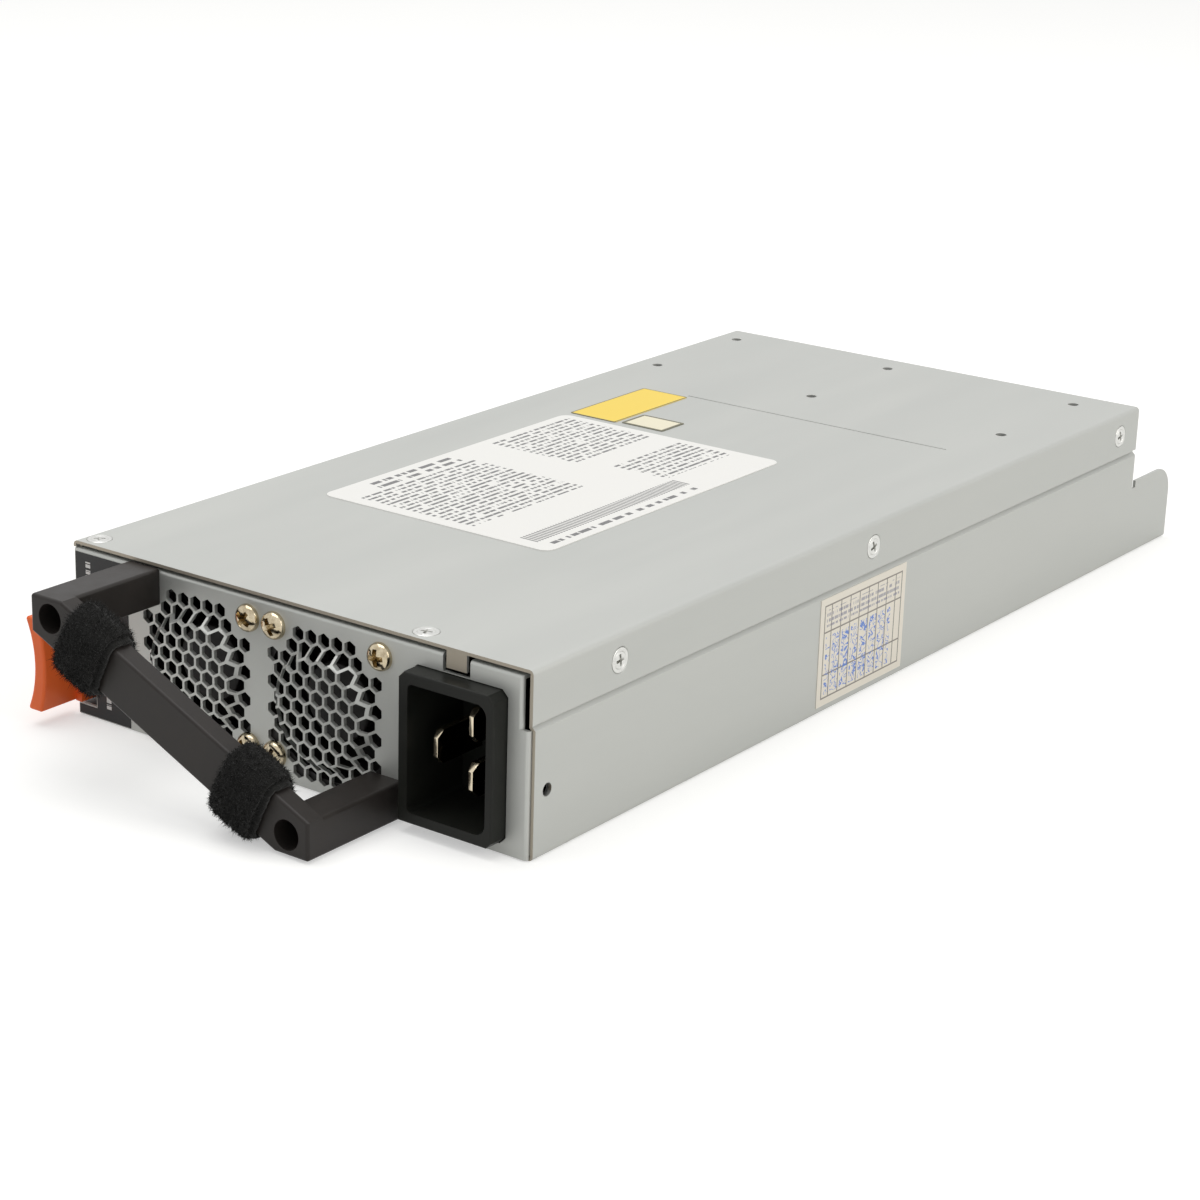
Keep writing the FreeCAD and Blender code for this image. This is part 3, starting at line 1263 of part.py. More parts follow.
def front_label():
    """Black film over the panel's left end, cut round the lever's notch."""
    body = new_body("front_label")
    shape = sketch(body, "front_label_outline", "XZ", "front")
    edge = "panel_left + front_label_gap"
    far = "handle_left - front_label_side"
    low = "panel_low_gap + front_label_gap"
    high = "panel_top - panel_gauge"
    outline(shape, [
        (edge, low), (far, low), (far, high), (edge, high),
        (edge, "pocket_high + front_label_gap"),
        ("web_face + front_label_gap", "pocket_high + front_label_gap"),
        ("web_face + front_label_gap", "pocket_low - front_label_gap"),
        (edge, "pocket_low - front_label_gap"),
    ])
    pad(body, shape, "label_thick", "front_label_sheet")
    node(body, "front_label")


def labels():
    flat_label("rating_label", "rating", "label_corner")
    flat_label("yellow_sticker", "yellow", "sticker_corner")
    flat_label("small_sticker", "small", "sticker_corner")
    side_sticker()
    front_label()


# ---------------------------------------------------------------- build, test and export
def build():
    chassis_tray()
    top_cover()
    front_panel()
    housing_screws()
    fan_frame("fan_frame_left", "fan_one")
    fan_frame("fan_frame_right", "fan_two")
    fan_rotor("fan_rotor_left", "fan_one")
    fan_rotor("fan_rotor_right", "fan_two")
    fan_screws()
    handle()
    handle_screws()
    strap("strap_upper", -1)
    strap("strap_lower", 1)
    latch_lever()
    latch_bracket()
    latch_pin()
    latch_spring()
    inlet_housing()
    inlet_pins()
    filter_board()
    main_board()
    board_standoffs()
    board_screws()
    insulation_film()
    capacitors()
    heat_sinks()
    chokes()
    transformer()
    control_card()
    bus_bars()
    edge_contacts()
    labels()


def test_and_export():
    """Stop on any failed object or bad shape, then write one STEP file a sub-part."""
    doc.recompute()
    for item in doc.Objects:
        if "Invalid" in item.State or "Error" in item.State:
            raise RuntimeError(f"{item.Name} is {item.State}")
    for solid in NODES:
        if solid.Shape.isNull() or not solid.Shape.isValid():
            raise RuntimeError(f"{solid.Label} has a bad shape")
    for solid in NODES:
        solid.Shape.exportStep(f"parts/{solid.Label}.step")
        count = len(solid.Shape.Solids)
        print(f"{solid.Label}: {count} solid(s), {solid.Shape.Volume:.0f} mm3")
    print(len(NODES), "nodes")


build()
test_and_export()
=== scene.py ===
# %% [markdown]
# # A hot swap power supply for a server bay
# This lesson dresses a finished CAD model. The CAD gives every size and place, so this script
# adds what the CAD leaves out: screws with driver recesses, two wound fabric straps with their
# pile, the finish of each surface, plain studio light and a camera. Lengths are in metres.

# %% Load the model
import math
import random

import bmesh
import bpy
from mathutils import Matrix, Vector


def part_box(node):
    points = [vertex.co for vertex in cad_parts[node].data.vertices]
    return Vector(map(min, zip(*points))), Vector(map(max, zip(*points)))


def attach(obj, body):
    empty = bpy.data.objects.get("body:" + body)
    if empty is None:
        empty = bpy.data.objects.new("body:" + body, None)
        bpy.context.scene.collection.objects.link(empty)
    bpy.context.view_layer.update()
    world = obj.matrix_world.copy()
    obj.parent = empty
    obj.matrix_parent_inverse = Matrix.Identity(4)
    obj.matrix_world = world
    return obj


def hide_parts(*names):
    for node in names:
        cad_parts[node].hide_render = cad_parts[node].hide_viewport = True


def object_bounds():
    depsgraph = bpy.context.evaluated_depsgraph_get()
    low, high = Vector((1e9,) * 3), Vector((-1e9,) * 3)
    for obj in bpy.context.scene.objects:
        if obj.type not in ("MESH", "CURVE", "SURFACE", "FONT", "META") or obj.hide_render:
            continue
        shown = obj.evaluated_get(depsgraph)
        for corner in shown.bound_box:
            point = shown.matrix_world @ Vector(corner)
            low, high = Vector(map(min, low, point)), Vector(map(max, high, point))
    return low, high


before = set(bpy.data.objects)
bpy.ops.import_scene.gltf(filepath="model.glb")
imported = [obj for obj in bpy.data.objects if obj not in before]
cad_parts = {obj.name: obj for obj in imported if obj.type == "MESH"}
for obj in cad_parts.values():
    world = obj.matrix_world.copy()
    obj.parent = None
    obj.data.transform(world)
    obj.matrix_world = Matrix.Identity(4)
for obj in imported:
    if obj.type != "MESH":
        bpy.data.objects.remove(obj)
cad_low, cad_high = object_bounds()
MM = 0.001      # a millimetre in metres
cad_size = [round(side / MM, 1) for side in cad_high - cad_low]
print("nodes:", len(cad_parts), "size in mm:", cad_size)

# %% [markdown]
# ## Camera
# The supply stands on a table and is seen from its front right corner, a little from above, with
# a long lens. A long lens keeps the housing's edges nearly parallel. The small sideways shift
# frames the object without turning the camera, so upright edges stay upright.

# %% Camera
CAMERA_PLACE = (0.41766, -0.60727, 0.25996)     # metres
CAMERA_TURN = (71.034, -1.020, 37.9865)         # degrees: down, level and round
LENS, FILM = 86.67, 36                          # mm
bpy.ops.object.camera_add(
    location=CAMERA_PLACE, rotation=[math.radians(angle) for angle in CAMERA_TURN])
camera = bpy.context.object
camera.name = "studio_camera"
camera.data.lens = LENS
camera.data.sensor_width = FILM
camera.data.shift_x = 0.0835
bpy.context.scene.camera = camera
bpy.context.scene.view_settings.view_transform = "Standard"
print("camera distance:", round(camera.location.length, 3), "m")

# %% [markdown]
# ## Helpers for colour and nodes
# A hex colour is what the eye reads off a surface, and a shader wants linear light, so one
# function turns the first into the second. A second function adds any node, with its own
# choices, its values and its links, because every finish below is a small graph of nodes.


# %% Colour and nodes
def linear(code, alpha=1.0):
    """A hex colour as linear red, green, blue and alpha."""
    parts = [int(code[start:start + 2], 16) / 255 for start in (0, 2, 4)]
    return tuple(part / 12.92 if part <= 0.04045 else ((part + 0.055) / 1.055) ** 2.4
                 for part in parts) + (alpha,)


def add(tree, kind, inputs=None, **choices):
    """Adds a node. An input is a value, or another node's output to link to."""
    node = tree.nodes.new(kind)
    for name, choice in choices.items():
        setattr(node, name, choice)
    for name, value in (inputs or {}).items():
        if isinstance(value, bpy.types.NodeSocket):
            tree.links.new(value, node.inputs[name])
        else:
            node.inputs[name].default_value = value
    return node


def per_mm(size):
    """Texture scale that gives features about this many millimetres wide."""
    return 1 / (size * MM)


def finish(name, colour, roughness, metallic=0.0, ior=1.5, **more):
    """A new material with the values that are the same all over it."""
    material = bpy.data.materials.new(name)
    material.use_nodes = True
    shader = material.node_tree.nodes["Principled BSDF"]
    shader.inputs["Base Color"].default_value = linear(colour)
    shader.inputs["Roughness"].default_value = roughness
    shader.inputs["Metallic"].default_value = metallic
    if metallic < 0.5:
        shader.inputs["IOR"].default_value = ior
    for socket, value in more.items():
        shader.inputs[socket.replace("_", " ")].default_value = value
    return material, material.node_tree, shader


print("mid grey in linear light:", round(linear("808080")[0], 3))

# %% [markdown]
# ## Dressing the CAD pieces
# A CAD piece keeps its mesh and only gets a new material in its slots. A finish usually needs
# the same three things: a colour that drifts a little, a roughness that drifts with it, and a
# fine bump. One function builds that graph from real sizes in millimetres, so that each
# material's cell can say what its surface is like in a few numbers.


# %% Grain and dressing
def grain(tree, shader, light, dark, patch, rough_low, rough_high, bump_size, bump_height,
          stretch=(1, 1, 1)):
    """Drifting colour and roughness, and a fine bump, all from Object coordinates. The sizes
    are in millimetres. Returns the colour's socket, so that a print can go over it."""
    place = add(tree, "ShaderNodeTexCoord").outputs["Object"]
    stretched = add(tree, "ShaderNodeMapping", {"Vector": place, "Scale": stretch})
    cloud = add(tree, "ShaderNodeTexNoise", {
        "Vector": stretched.outputs[0], "Scale": per_mm(patch), "Detail": 4.0, "Roughness": 0.6})
    colour = add(tree, "ShaderNodeMix", {
        0: cloud.outputs["Fac"], 6: linear(dark), 7: linear(light)}, data_type="RGBA")
    tree.links.new(colour.outputs[2], shader.inputs["Base Color"])
    rough = add(tree, "ShaderNodeMapRange", {
        "Value": cloud.outputs["Fac"], "From Min": 0.3, "From Max": 0.7,
        "To Min": rough_low, "To Max": rough_high})
    tree.links.new(rough.outputs[0], shader.inputs["Roughness"])
    fine = add(tree, "ShaderNodeTexNoise", {
        "Vector": place, "Scale": per_mm(bump_size), "Detail": 2.0})
    bump = add(tree, "ShaderNodeBump", {
        "Height": fine.outputs["Fac"], "Strength": 1.0, "Distance": bump_height * MM})
    tree.links.new(bump.outputs[0], shader.inputs["Normal"])
    return colour.outputs[2]


def dress(material, *names):
    """Puts a material in the slots of CAD nodes, or of new pieces."""
    for name in names:
        piece = name if isinstance(name, bpy.types.Object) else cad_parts[name]
        if not piece.data.materials:
            piece.data.materials.append(material)
        for slot in piece.material_slots:
            slot.material = material


print("helpers ready")

# %% [markdown]
# ## Places as numbers
# Some finishes change at a real place: a sheared edge, a pin's tip, a printed line. For these
# the surface's own place or direction is split into three numbers, and plain arithmetic on
# them gives a mask that is 1 where the change happens and 0 elsewhere.


# %% Places as numbers
def box_mm(node):
    """Lowest and highest corners of a CAD node's box, in millimetres."""
    return [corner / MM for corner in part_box(node)]


def axes(tree):
    """Object coordinates in millimetres, as separate sockets."""
    place = add(tree, "ShaderNodeTexCoord").outputs["Object"]
    scaled = add(tree, "ShaderNodeMapping", {"Vector": place, "Scale": (1 / MM, 1 / MM, 1 / MM)})
    return add(tree, "ShaderNodeSeparateXYZ", {0: scaled.outputs[0]}).outputs


def facing(tree):
    """The direction that the surface faces, as three numbers from -1 to 1."""
    normal = add(tree, "ShaderNodeTexCoord").outputs["Normal"]
    return add(tree, "ShaderNodeSeparateXYZ", {0: normal}).outputs


def maths(tree, operation, *values):
    """One step of arithmetic on sockets or numbers."""
    return add(tree, "ShaderNodeMath", dict(enumerate(values)), operation=operation).outputs[0]


def inside(tree, along, low, high):
    """1 between two places on one axis, and 0 outside them."""
    return maths(tree, "COMPARE", along, (low + high) / 2, (high - low) / 2)


def lay_over(tree, shader, below, colour, amount):
    """Lays a colour over another colour or a socket, by an amount from 0 to 1."""
    under = below if isinstance(below, bpy.types.NodeSocket) else linear(below)
    mix = add(tree, "ShaderNodeMix", {0: amount, 6: under, 7: linear(colour)}, data_type="RGBA")
    tree.links.new(mix.outputs[2], shader.inputs["Base Color"])
    return mix.outputs[2]


print("place helpers ready")

# %% [markdown]
# ## Zinc coated sheet
# The housing is folded from steel sheet that was coated with zinc in a bath of current, which
# leaves a fine, even, silky grey: it reflects a blurred image of the room. The grain of a
# hundredth of a millimetre is too fine to show, so it is drawn a quarter of a millimetre wide.
# A long faint streak along the rolling direction keeps the large faces from looking painted.

# %% Zinc coated sheet
zinc_sheet, tree, shader = finish("zinc_coated_steel_sheet", "BDBEBA", 0.5, metallic=0.55)
grain(tree, shader, "C3C4C0", "B6B8B4", 14, 0.44, 0.54, 0.25, 0.004, stretch=(1, 0.12, 1))
dress(zinc_sheet, "front_panel")

# %% [markdown]
# ## Sheared edges
# The tray and the cover were sheared to length after they were coated, so their front edges
# are bare steel that has browned a little. On the front half of these two pieces nothing but
# such an edge faces straight along the housing, so the direction and the half find them. The
# rear half is left out, because the tray's rear wall faces the same way and is still coated.

# %% Sheared edges
sheared_sheet = zinc_sheet.copy()
sheared_sheet.name = "zinc_coated_sheet_with_sheared_edges"
tree = sheared_sheet.node_tree
shader = tree.nodes["Principled BSDF"]
coated = shader.inputs["Base Color"].links[0].from_socket
STRAIGHT = 0.9      # a face whose normal has more of an axis than this faces straight along it
edge = maths(tree, "GREATER_THAN", maths(tree, "ABSOLUTE", facing(tree)["Y"]), STRAIGHT)
front_half = maths(tree, "LESS_THAN", axes(tree)["Y"], 0.0)
lay_over(tree, shader, coated, "A39B8D", maths(tree, "MULTIPLY", edge, front_half))
dress(sheared_sheet, "chassis_tray", "top_cover")
print(zinc_sheet.name, "on 1 piece,", sheared_sheet.name, "on 2")

# %% [markdown]
# ## Black mouldings
# The handle is glass filled nylon from a spark eroded mould: dark brown black, satin, with a
# fine pimple. The mains inlet is smoother and a little greener, and the fans are glossier still.
# Pimples shade each other, so such a surface mirrors less than a polished one, and its
# specular level is lowered.

# %% Black mouldings
nylon, tree, shader = finish("glass_filled_nylon", "2B2725", 0.42, ior=1.53,
                             Specular_IOR_Level=0.22)
grain(tree, shader, "312D2A", "242120", 6, 0.36, 0.46, 0.3, 0.006)
dress(nylon, "handle")
inlet_plastic, tree, shader = finish("moulded_black_polyester", "1D1E1B", 0.4, ior=1.54,
                                     Specular_IOR_Level=0.16)
grain(tree, shader, "22231F", "181917", 9, 0.34, 0.46, 0.35, 0.004)
dress(inlet_plastic, "inlet_housing")
fan_plastic, tree, shader = finish("moulded_fan_plastic", "211F1E", 0.35, ior=1.54,
                                   Specular_IOR_Level=0.25)
grain(tree, shader, "272423", "1A1918", 5, 0.28, 0.40, 0.4, 0.003)
dress(fan_plastic, "fan_frame_left", "fan_frame_right", "fan_rotor_left", "fan_rotor_right")
print("black mouldings done")

# %% [markdown]
# ## Orange latch
# The release lever is ABS coloured right through. It is smoother than the handle, with soft
# highlights, and a little light goes into it, which keeps its shaded side warm.

# %% Orange latch
orange_abs, tree, shader = finish("orange_abs", "EC6A2E", 0.36, ior=1.53, Subsurface_Weight=0.08,
                                  Subsurface_Scale=0.001, Specular_IOR_Level=0.3)
grain(tree, shader, "F17033", "E66227", 8, 0.32, 0.40, 0.4, 0.004)
dress(orange_abs, "latch_lever")
print(orange_abs.name)

# %% [markdown]
# ## Plated metals
# Three platings matter. The fan screws have a pale yellow passivated zinc, and the dark patches
# on it are painted reflections. The cover's screws are nickel, nearly white. The inlet's pins are
# tinned brass, bright at their tips, with painted shade on their broad sides.
# The bracket behind the latch is given a near black metal, as painted shade, so that its pocket
# stays dark.

# %% Plated metals
yellow_zinc_painted_reflections, tree, shader = finish("yellow_passivated_zinc", "DACDB2", 0.18, metallic=1.0)
# The dark brown patches of this grain are painted dark reflections on the screw heads.
grain(tree, shader, "EFE3C8", "7C6844", 1.6, 0.08, 0.22, 0.6, 0.006)
nickel, tree, shader = finish("nickel_plate", "D6D6D3", 0.3, metallic=1.0)
grain(tree, shader, "DFDFDC", "C6C6C2", 1.5, 0.26, 0.38, 0.3, 0.003)
dress(nickel, "latch_pin", "board_standoffs", "board_screws")
pin_metal, tree, shader = finish("tinned_brass", "DDD2BC", 0.2, metallic=1.0)
plated = grain(tree, shader, "E9DFCB", "D2C2A2", 3, 0.15, 0.28, 0.3, 0.003)
# Faces that point sideways are painted dark: painted shade on the pins' broad sides.
broad_sides_painted_shade = maths(tree, "GREATER_THAN", maths(tree, "ABSOLUTE", facing(tree)["X"]), 0.7)
lay_over(tree, shader, plated, "3A342C", broad_sides_painted_shade)
spring_steel, tree, shader = finish("tempered_spring_steel", "A9A59C", 0.3, metallic=1.0)
grain(tree, shader, "B1ADA4", "989388", 4, 0.25, 0.38, 0.3, 0.003, stretch=(0.2, 1, 1))
dress(spring_steel, "latch_spring")
# This near black colour is painted shade for the pocket behind the latch.
bracket_painted_shade, tree, shader = finish("painted_shade_bracket_sheet", "2E2E2D", 0.45, metallic=0.6)
grain(tree, shader, "343433", "272726", 5, 0.4, 0.5, 0.3, 0.003)
dress(bracket_painted_shade, "latch_bracket")
print("plated metals done")

# %% [markdown]
# ## Inside: boards and metal parts
# The inner pieces show only through the card slot, the vents and the open rear. Fibreglass
# board under green solder mask has faint copper tracks, drawn here as narrow bricks. Contacts
# are gold over nickel, the bars are bare copper, and the sinks are extruded aluminium.

# %% Boards and metal parts
solder_mask, tree, shader = finish("green_solder_mask", "1C5B35", 0.3)
place = add(tree, "ShaderNodeTexCoord").outputs["Object"]
tracks = add(tree, "ShaderNodeTexBrick", {
    "Vector": place, "Scale": 1.0, "Color1": linear("1F6A3D"), "Color2": linear("1A5E36"),
    "Mortar": linear("174C2C"), "Mortar Size": 0.25 * MM, "Brick Width": 7 * MM,
    "Row Height": 1.6 * MM})
tree.links.new(tracks.outputs["Color"], shader.inputs["Base Color"])
lift = add(tree, "ShaderNodeBump", {"Height": tracks.outputs["Fac"], "Distance": 0.03 * MM},
           invert=True)
tree.links.new(lift.outputs[0], shader.inputs["Normal"])
dress(solder_mask, "main_board", "filter_board", "control_card")

gold, tree, shader = finish("gold_plate", "E3B45C", 0.25, metallic=1.0)
grain(tree, shader, "E9BE6B", "D6A54C", 4, 0.2, 0.3, 0.3, 0.002)
dress(gold, "edge_contacts")
copper, tree, shader = finish("bare_copper_bar", "D08E6B", 0.32, metallic=1.0)
grain(tree, shader, "D99A76", "BE7A58", 8, 0.28, 0.42, 0.4, 0.004)
dress(copper, "bus_bars")
extruded, tree, shader = finish("extruded_aluminium", "C8CACC", 0.35, metallic=1.0)
grain(tree, shader, "D0D2D4", "BABCBE", 5, 0.3, 0.42, 0.3, 0.004, stretch=(1, 0.05, 1))
dress(extruded, "primary_heat_sink", "secondary_heat_sink")
print("boards and metals done")

# %% [markdown]
# ## Inside: wound and moulded parts
# A choke is a ring core wound with enamelled copper wire. The turns lie side by side, so a
# wave pattern with the wire's pitch gives the ridges, and the colour follows it as painted light
# and shade: lighter on each crest, darker in each groove. At scale 1 a wave has a stripe every
# tau / 20. The rest are moulded epoxy, ferrite, shrink sleeve and film.

# %% Wound and moulded parts
WIRE = 0.75     # mm from one turn of wire to the next
enamel, tree, shader = finish("enamelled_copper_wire", "8E4A22", 0.3, metallic=0.6)
place = add(tree, "ShaderNodeTexCoord").outputs["Object"]
turns = add(tree, "ShaderNodeTexWave", {"Vector": place, "Scale": math.tau / 20 * per_mm(WIRE),
                                        "Distortion": 1.5, "Detail": 1.0}, bands_direction="X")
# Lighter on each turn's crest and darker in the groove between turns: painted highlight and painted
# shade.
lay_over(tree, shader, "5C2C14", "B5652F", turns.outputs["Fac"])
ridge = add(tree, "ShaderNodeBump", {"Height": turns.outputs["Fac"], "Distance": 0.3 * MM})
tree.links.new(ridge.outputs[0], shader.inputs["Normal"])
dress(enamel, "filter_choke", "boost_choke", "output_choke", "transformer_winding")

# The plain finishes: light and dark colour, roughness, and the pieces that have them.
PLAIN = {
    "moulded_epoxy": ("232323", "1B1B1B", 0.5, ("primary_transistors", "secondary_transistors",
                                                "control_socket")),
    "sintered_ferrite": ("3A3A3D", "2C2C2F", 0.6, ("transformer_core",)),
    "shrink_sleeve": ("2A2E48", "20233A", 0.25, ("bulk_capacitors", "output_capacitors")),
    "moulded_yellow_box": ("D9B545", "C9A233", 0.3, ("filter_capacitors",)),
    "amber_film": ("D9C27A", "CDB266", 0.15, ("insulation_film",)),
}
for name, (light, dark, rough, nodes) in PLAIN.items():
    material, tree, shader = finish(name, light, rough)
    grain(tree, shader, light, dark, 4, rough * 0.9, rough * 1.2, 0.4, 0.005)
    dress(material, *nodes)
print("wound and moulded parts done")

# %% [markdown]
# ## Printed labels
# The labels are polyester film. Their print is only suggested: rows of short grey dashes that
# have a text's rhythm and say nothing. The rows come from arithmetic on Object coordinates.
# Across the rows a saw tooth gives the lines, and along them a noise that differs from row to
# row gives the words. Boxes limit each block of rows, as columns and headings would.


# %% Print patterns
ROWS_APART = 7.31   # how far apart two rows read the noise, so that their words differ
WORD_LEVEL = 0.46   # the noise is above this in a word, and below it in the gap after it


def rows(tree, across, along, pitch, ink, word):
    """Rows of dashes: pitch between rows, ink the share that is dark, word a dash's length."""
    step = maths(tree, "DIVIDE", across, pitch)
    line = maths(tree, "LESS_THAN", maths(tree, "FRACT", step), ink)
    row = maths(tree, "MULTIPLY", maths(tree, "FLOOR", step), ROWS_APART)
    spot = add(tree, "ShaderNodeCombineXYZ", {"X": maths(tree, "DIVIDE", along, word), "Y": row})
    noise = add(tree, "ShaderNodeTexNoise", {
        "Vector": spot.outputs[0], "Scale": 1.0, "Detail": 1.5})
    words = maths(tree, "GREATER_THAN", noise.outputs["Fac"], WORD_LEVEL)
    return maths(tree, "MULTIPLY", line, words)


def stripes(tree, along, pitch):
    """A number that climbs from 0 to 1 in every pitch along an axis, as a saw tooth does."""
    return maths(tree, "FRACT", maths(tree, "DIVIDE", along, pitch))


def block(tree, x, y, pattern, box):
    """A pattern that shows only in a box: lowest x, highest x, lowest y, highest y."""
    across, up = inside(tree, x, box[0], box[1]), inside(tree, y, box[2], box[3])
    return maths(tree, "MULTIPLY", maths(tree, "MULTIPLY", across, up), pattern)


def border(tree, x, y, box, width):
    """A printed line of this width, just inside a box's edge."""
    low_x, high_x, low_y, high_y = box
    inner = (low_x + width, high_x - width, low_y + width, high_y - width)
    return maths(tree, "SUBTRACT", block(tree, x, y, 1.0, box), block(tree, x, y, 1.0, inner))


print("print patterns ready")

# %% [markdown]
# ## Rating label
# The large white label is a matt polyester film. It has three blocks of close rows, a heading,
# a hatched strip along one edge and a row of larger dashes beside that. Each block is placed
# from the label's own corners, so the print stays on it if the CAD moves the label.

# %% Rating label
low, high = box_mm("rating_label")
white_label, tree, shader = finish("white_polyester_label", "E9E8E4", 0.45, ior=1.55,
                                   Specular_IOR_Level=0.3)
x, y, z = axes(tree)
text = rows(tree, x, y, 2.1, 0.45, 1.2)
heading = rows(tree, x, y, 3.1, 0.5, 2.2)
hatch = maths(tree, "GREATER_THAN", stripes(tree, y, 1.1), 0.5)
ink = block(tree, x, y, text, (low.x + 9, low.x + 46, low.y + 4, low.y + 50))
for pattern, box in (
        (heading, (low.x + 3, low.x + 8, low.y + 14, low.y + 48)),
        (text, (low.x + 3, low.x + 32, low.y + 66, high.y - 3)),
        (text, (low.x + 40, high.x - 14, low.y + 70, high.y - 3)),
        (hatch, (high.x - 12, high.x - 6.5, low.y + 4, low.y + 70)),
        (heading, (high.x - 4.6, high.x - 2.2, low.y + 6, low.y + 68))):
    ink = maths(tree, "MAXIMUM", ink, block(tree, x, y, pattern, box))
faint = maths(tree, "MULTIPLY", ink, 0.9)
lay_over(tree, shader, "E9E8E4", "5A5A5C", faint)
dress(white_label, "rating_label")
print("label size in mm:", round(high.x - low.x, 1), "x", round(high.y - low.y, 1))

# %% [markdown]
# ## Framed stickers
# The yellow vinyl sticker and the cream paper one are left plain inside, with only a printed
# line round the edge. Vinyl is a clear strong colour, and the paper is paler and duller.


# %% Framed stickers
def framed(name, node, paper, ink, width):
    """A sticker with a printed line of this width, in millimetres, round its edge."""
    low, high = box_mm(node)
    material, tree, shader = finish(name, paper, 0.4)
    x, y, z = axes(tree)
    lay_over(tree, shader, paper, ink, border(tree, x, y, (low.x, high.x, low.y, high.y), width))
    dress(material, node)


framed("yellow_vinyl_sticker", "yellow_sticker", "EFCE3A", "6E6434", 0.45)
framed("cream_paper_sticker", "small_sticker", "E6DFC4", "5F5C42", 0.9)
print("framed stickers done")

# %% [markdown]
# ## Ruled form
# The sticker on the right side is an uncoated paper form that someone filled in with a blue
# pen. Its ruling is a saw tooth for the upright lines, two level lines and a border. The pen's
# marks are thin bands of noise, so they read as handwriting from afar and as nothing close to.

# %% Ruled form
low, high = box_mm("side_sticker")
PAPER = "EAE4D8"
MARGIN = 1.8    # mm of bare paper round the border
LINE = 0.4      # mm, the width of a printed line
COLUMN = 4.4    # mm between the form's upright lines
RULE = 0.09     # share of a column that its line takes
head, foot = high.z - 9.2, low.z + 8.0      # the two level lines
form, tree, shader = finish("ruled_paper_form", PAPER, 0.6, ior=1.45)
x, y, z = axes(tree)
edge = (low.y + MARGIN, high.y - MARGIN, low.z + MARGIN, high.z - MARGIN)
ruled = maths(tree, "LESS_THAN", stripes(tree, y, COLUMN), RULE)
for level in (head, foot):
    ruled = maths(tree, "MAXIMUM", ruled, inside(tree, z, level, level + LINE))
lines = maths(tree, "MAXIMUM", block(tree, y, z, ruled, edge), border(tree, y, z, edge, LINE))
printed = lay_over(tree, shader, PAPER, "75716B", maths(tree, "MULTIPLY", lines, 0.85))
titles = block(tree, y, z, rows(tree, z, y, 1.5, 0.55, 0.7),
               (low.y + 3, high.y - 3, head + 1.5, high.z - 3.2))
printed = lay_over(tree, shader, printed, "6B6F8E", maths(tree, "MULTIPLY", titles, 0.6))
spot = add(tree, "ShaderNodeCombineXYZ", {"X": y, "Y": z})
scribble = add(tree, "ShaderNodeTexNoise", {"Vector": spot.outputs[0], "Scale": 0.55, "Detail": 0.6,
                                            "Distortion": 1.1})
stroke = maths(tree, "COMPARE", scribble.outputs["Fac"], 0.5, 0.042)
clear_of_lines = maths(tree, "GREATER_THAN", stripes(tree, y, COLUMN), 0.24)
pen = block(tree, y, z, maths(tree, "MULTIPLY", stroke, clear_of_lines),
            (low.y + 3, high.y - 7, low.z + 2.8, head - 1.0))
lay_over(tree, shader, printed, "5582D4", maths(tree, "MULTIPLY", pen, 0.9))
dress(form, "side_sticker")
print("ruled form:", round(high.y - low.y, 1), "x", round(high.z - low.z, 1), "mm")

# %% [markdown]
# ## Black film
# The left end of the front is covered with a black polyester film. It is a little glossier
# than the mouldings, and it has two short upright columns of small white dashes.

# %% Black film
low, high = box_mm("front_label")
black_film, tree, shader = finish("black_polyester_film", "1F1F20", 0.4, ior=1.55,
                                  Specular_IOR_Level=0.3)
film = grain(tree, shader, "222223", "1A1A1B", 10, 0.36, 0.44, 0.5, 0.002)
x, y, z = axes(tree)
marks = rows(tree, x, z, 3.0, 0.6, 0.9)
upper = block(tree, x, z, marks, (low.x + 3.0, low.x + 5.0, high.z - 12, high.z - 2))
lower = block(tree, x, z, marks, (low.x + 9.0, low.x + 11.0, low.z + 3, low.z + 14))
lay_over(tree, shader, film, "D8D8D6", maths(tree, "MAXIMUM", upper, lower))
dress(black_film, "front_label")
print("black film done")

# %% [markdown]
# ## Tools for modelling
# An operator acts on all that is selected, and the loaded CAD pieces are selected, so every
# step starts by clearing the selection. In edit mode the faces to work on are found by a test
# on their place or normal, which is what a maker does by eye.


# %% Selecting
def choose(*pieces):
    """Object mode, with only these pieces selected. The first is the active one."""
    if bpy.context.mode != "OBJECT":
        bpy.ops.object.mode_set(mode="OBJECT")
    bpy.ops.object.select_all(action="DESELECT")
    for piece in pieces:
        piece.select_set(True)
    if pieces:
        bpy.context.view_layer.objects.active = pieces[0]


def pick(test, kind="FACE"):
    """In edit mode, selects only the faces or edges that pass the test, and counts them."""
    bpy.ops.mesh.select_mode(type=kind)
    bpy.ops.mesh.select_all(action="DESELECT")
    mesh = bmesh.from_edit_mesh(bpy.context.edit_object.data)
    found = [item for item in (mesh.faces if kind == "FACE" else mesh.edges) if test(item)]
    for item in found:
        item.select_set(True)
    bmesh.update_edit_mesh(bpy.context.edit_object.data)
    return len(found)


def face_outwards():
    """In edit mode, turns every face outwards, and goes back to object mode."""
    bpy.ops.mesh.select_all(action="SELECT")
    bpy.ops.mesh.normals_make_consistent(inside=False)
    bpy.ops.object.mode_set(mode="OBJECT")


def from_points(name, points, faces):
    """A new piece whose mesh has these points and faces."""
    mesh = bpy.data.meshes.new(name)
    mesh.from_pydata(points, [], faces)
    piece = bpy.data.objects.new(name, mesh)
    bpy.context.scene.collection.objects.link(piece)
    return piece


def settle(piece):
    """Places a piece's turn, size and place in its mesh, and leaves it at the origin."""
    choose(piece)
    bpy.ops.object.transform_apply(location=True, rotation=True, scale=True)


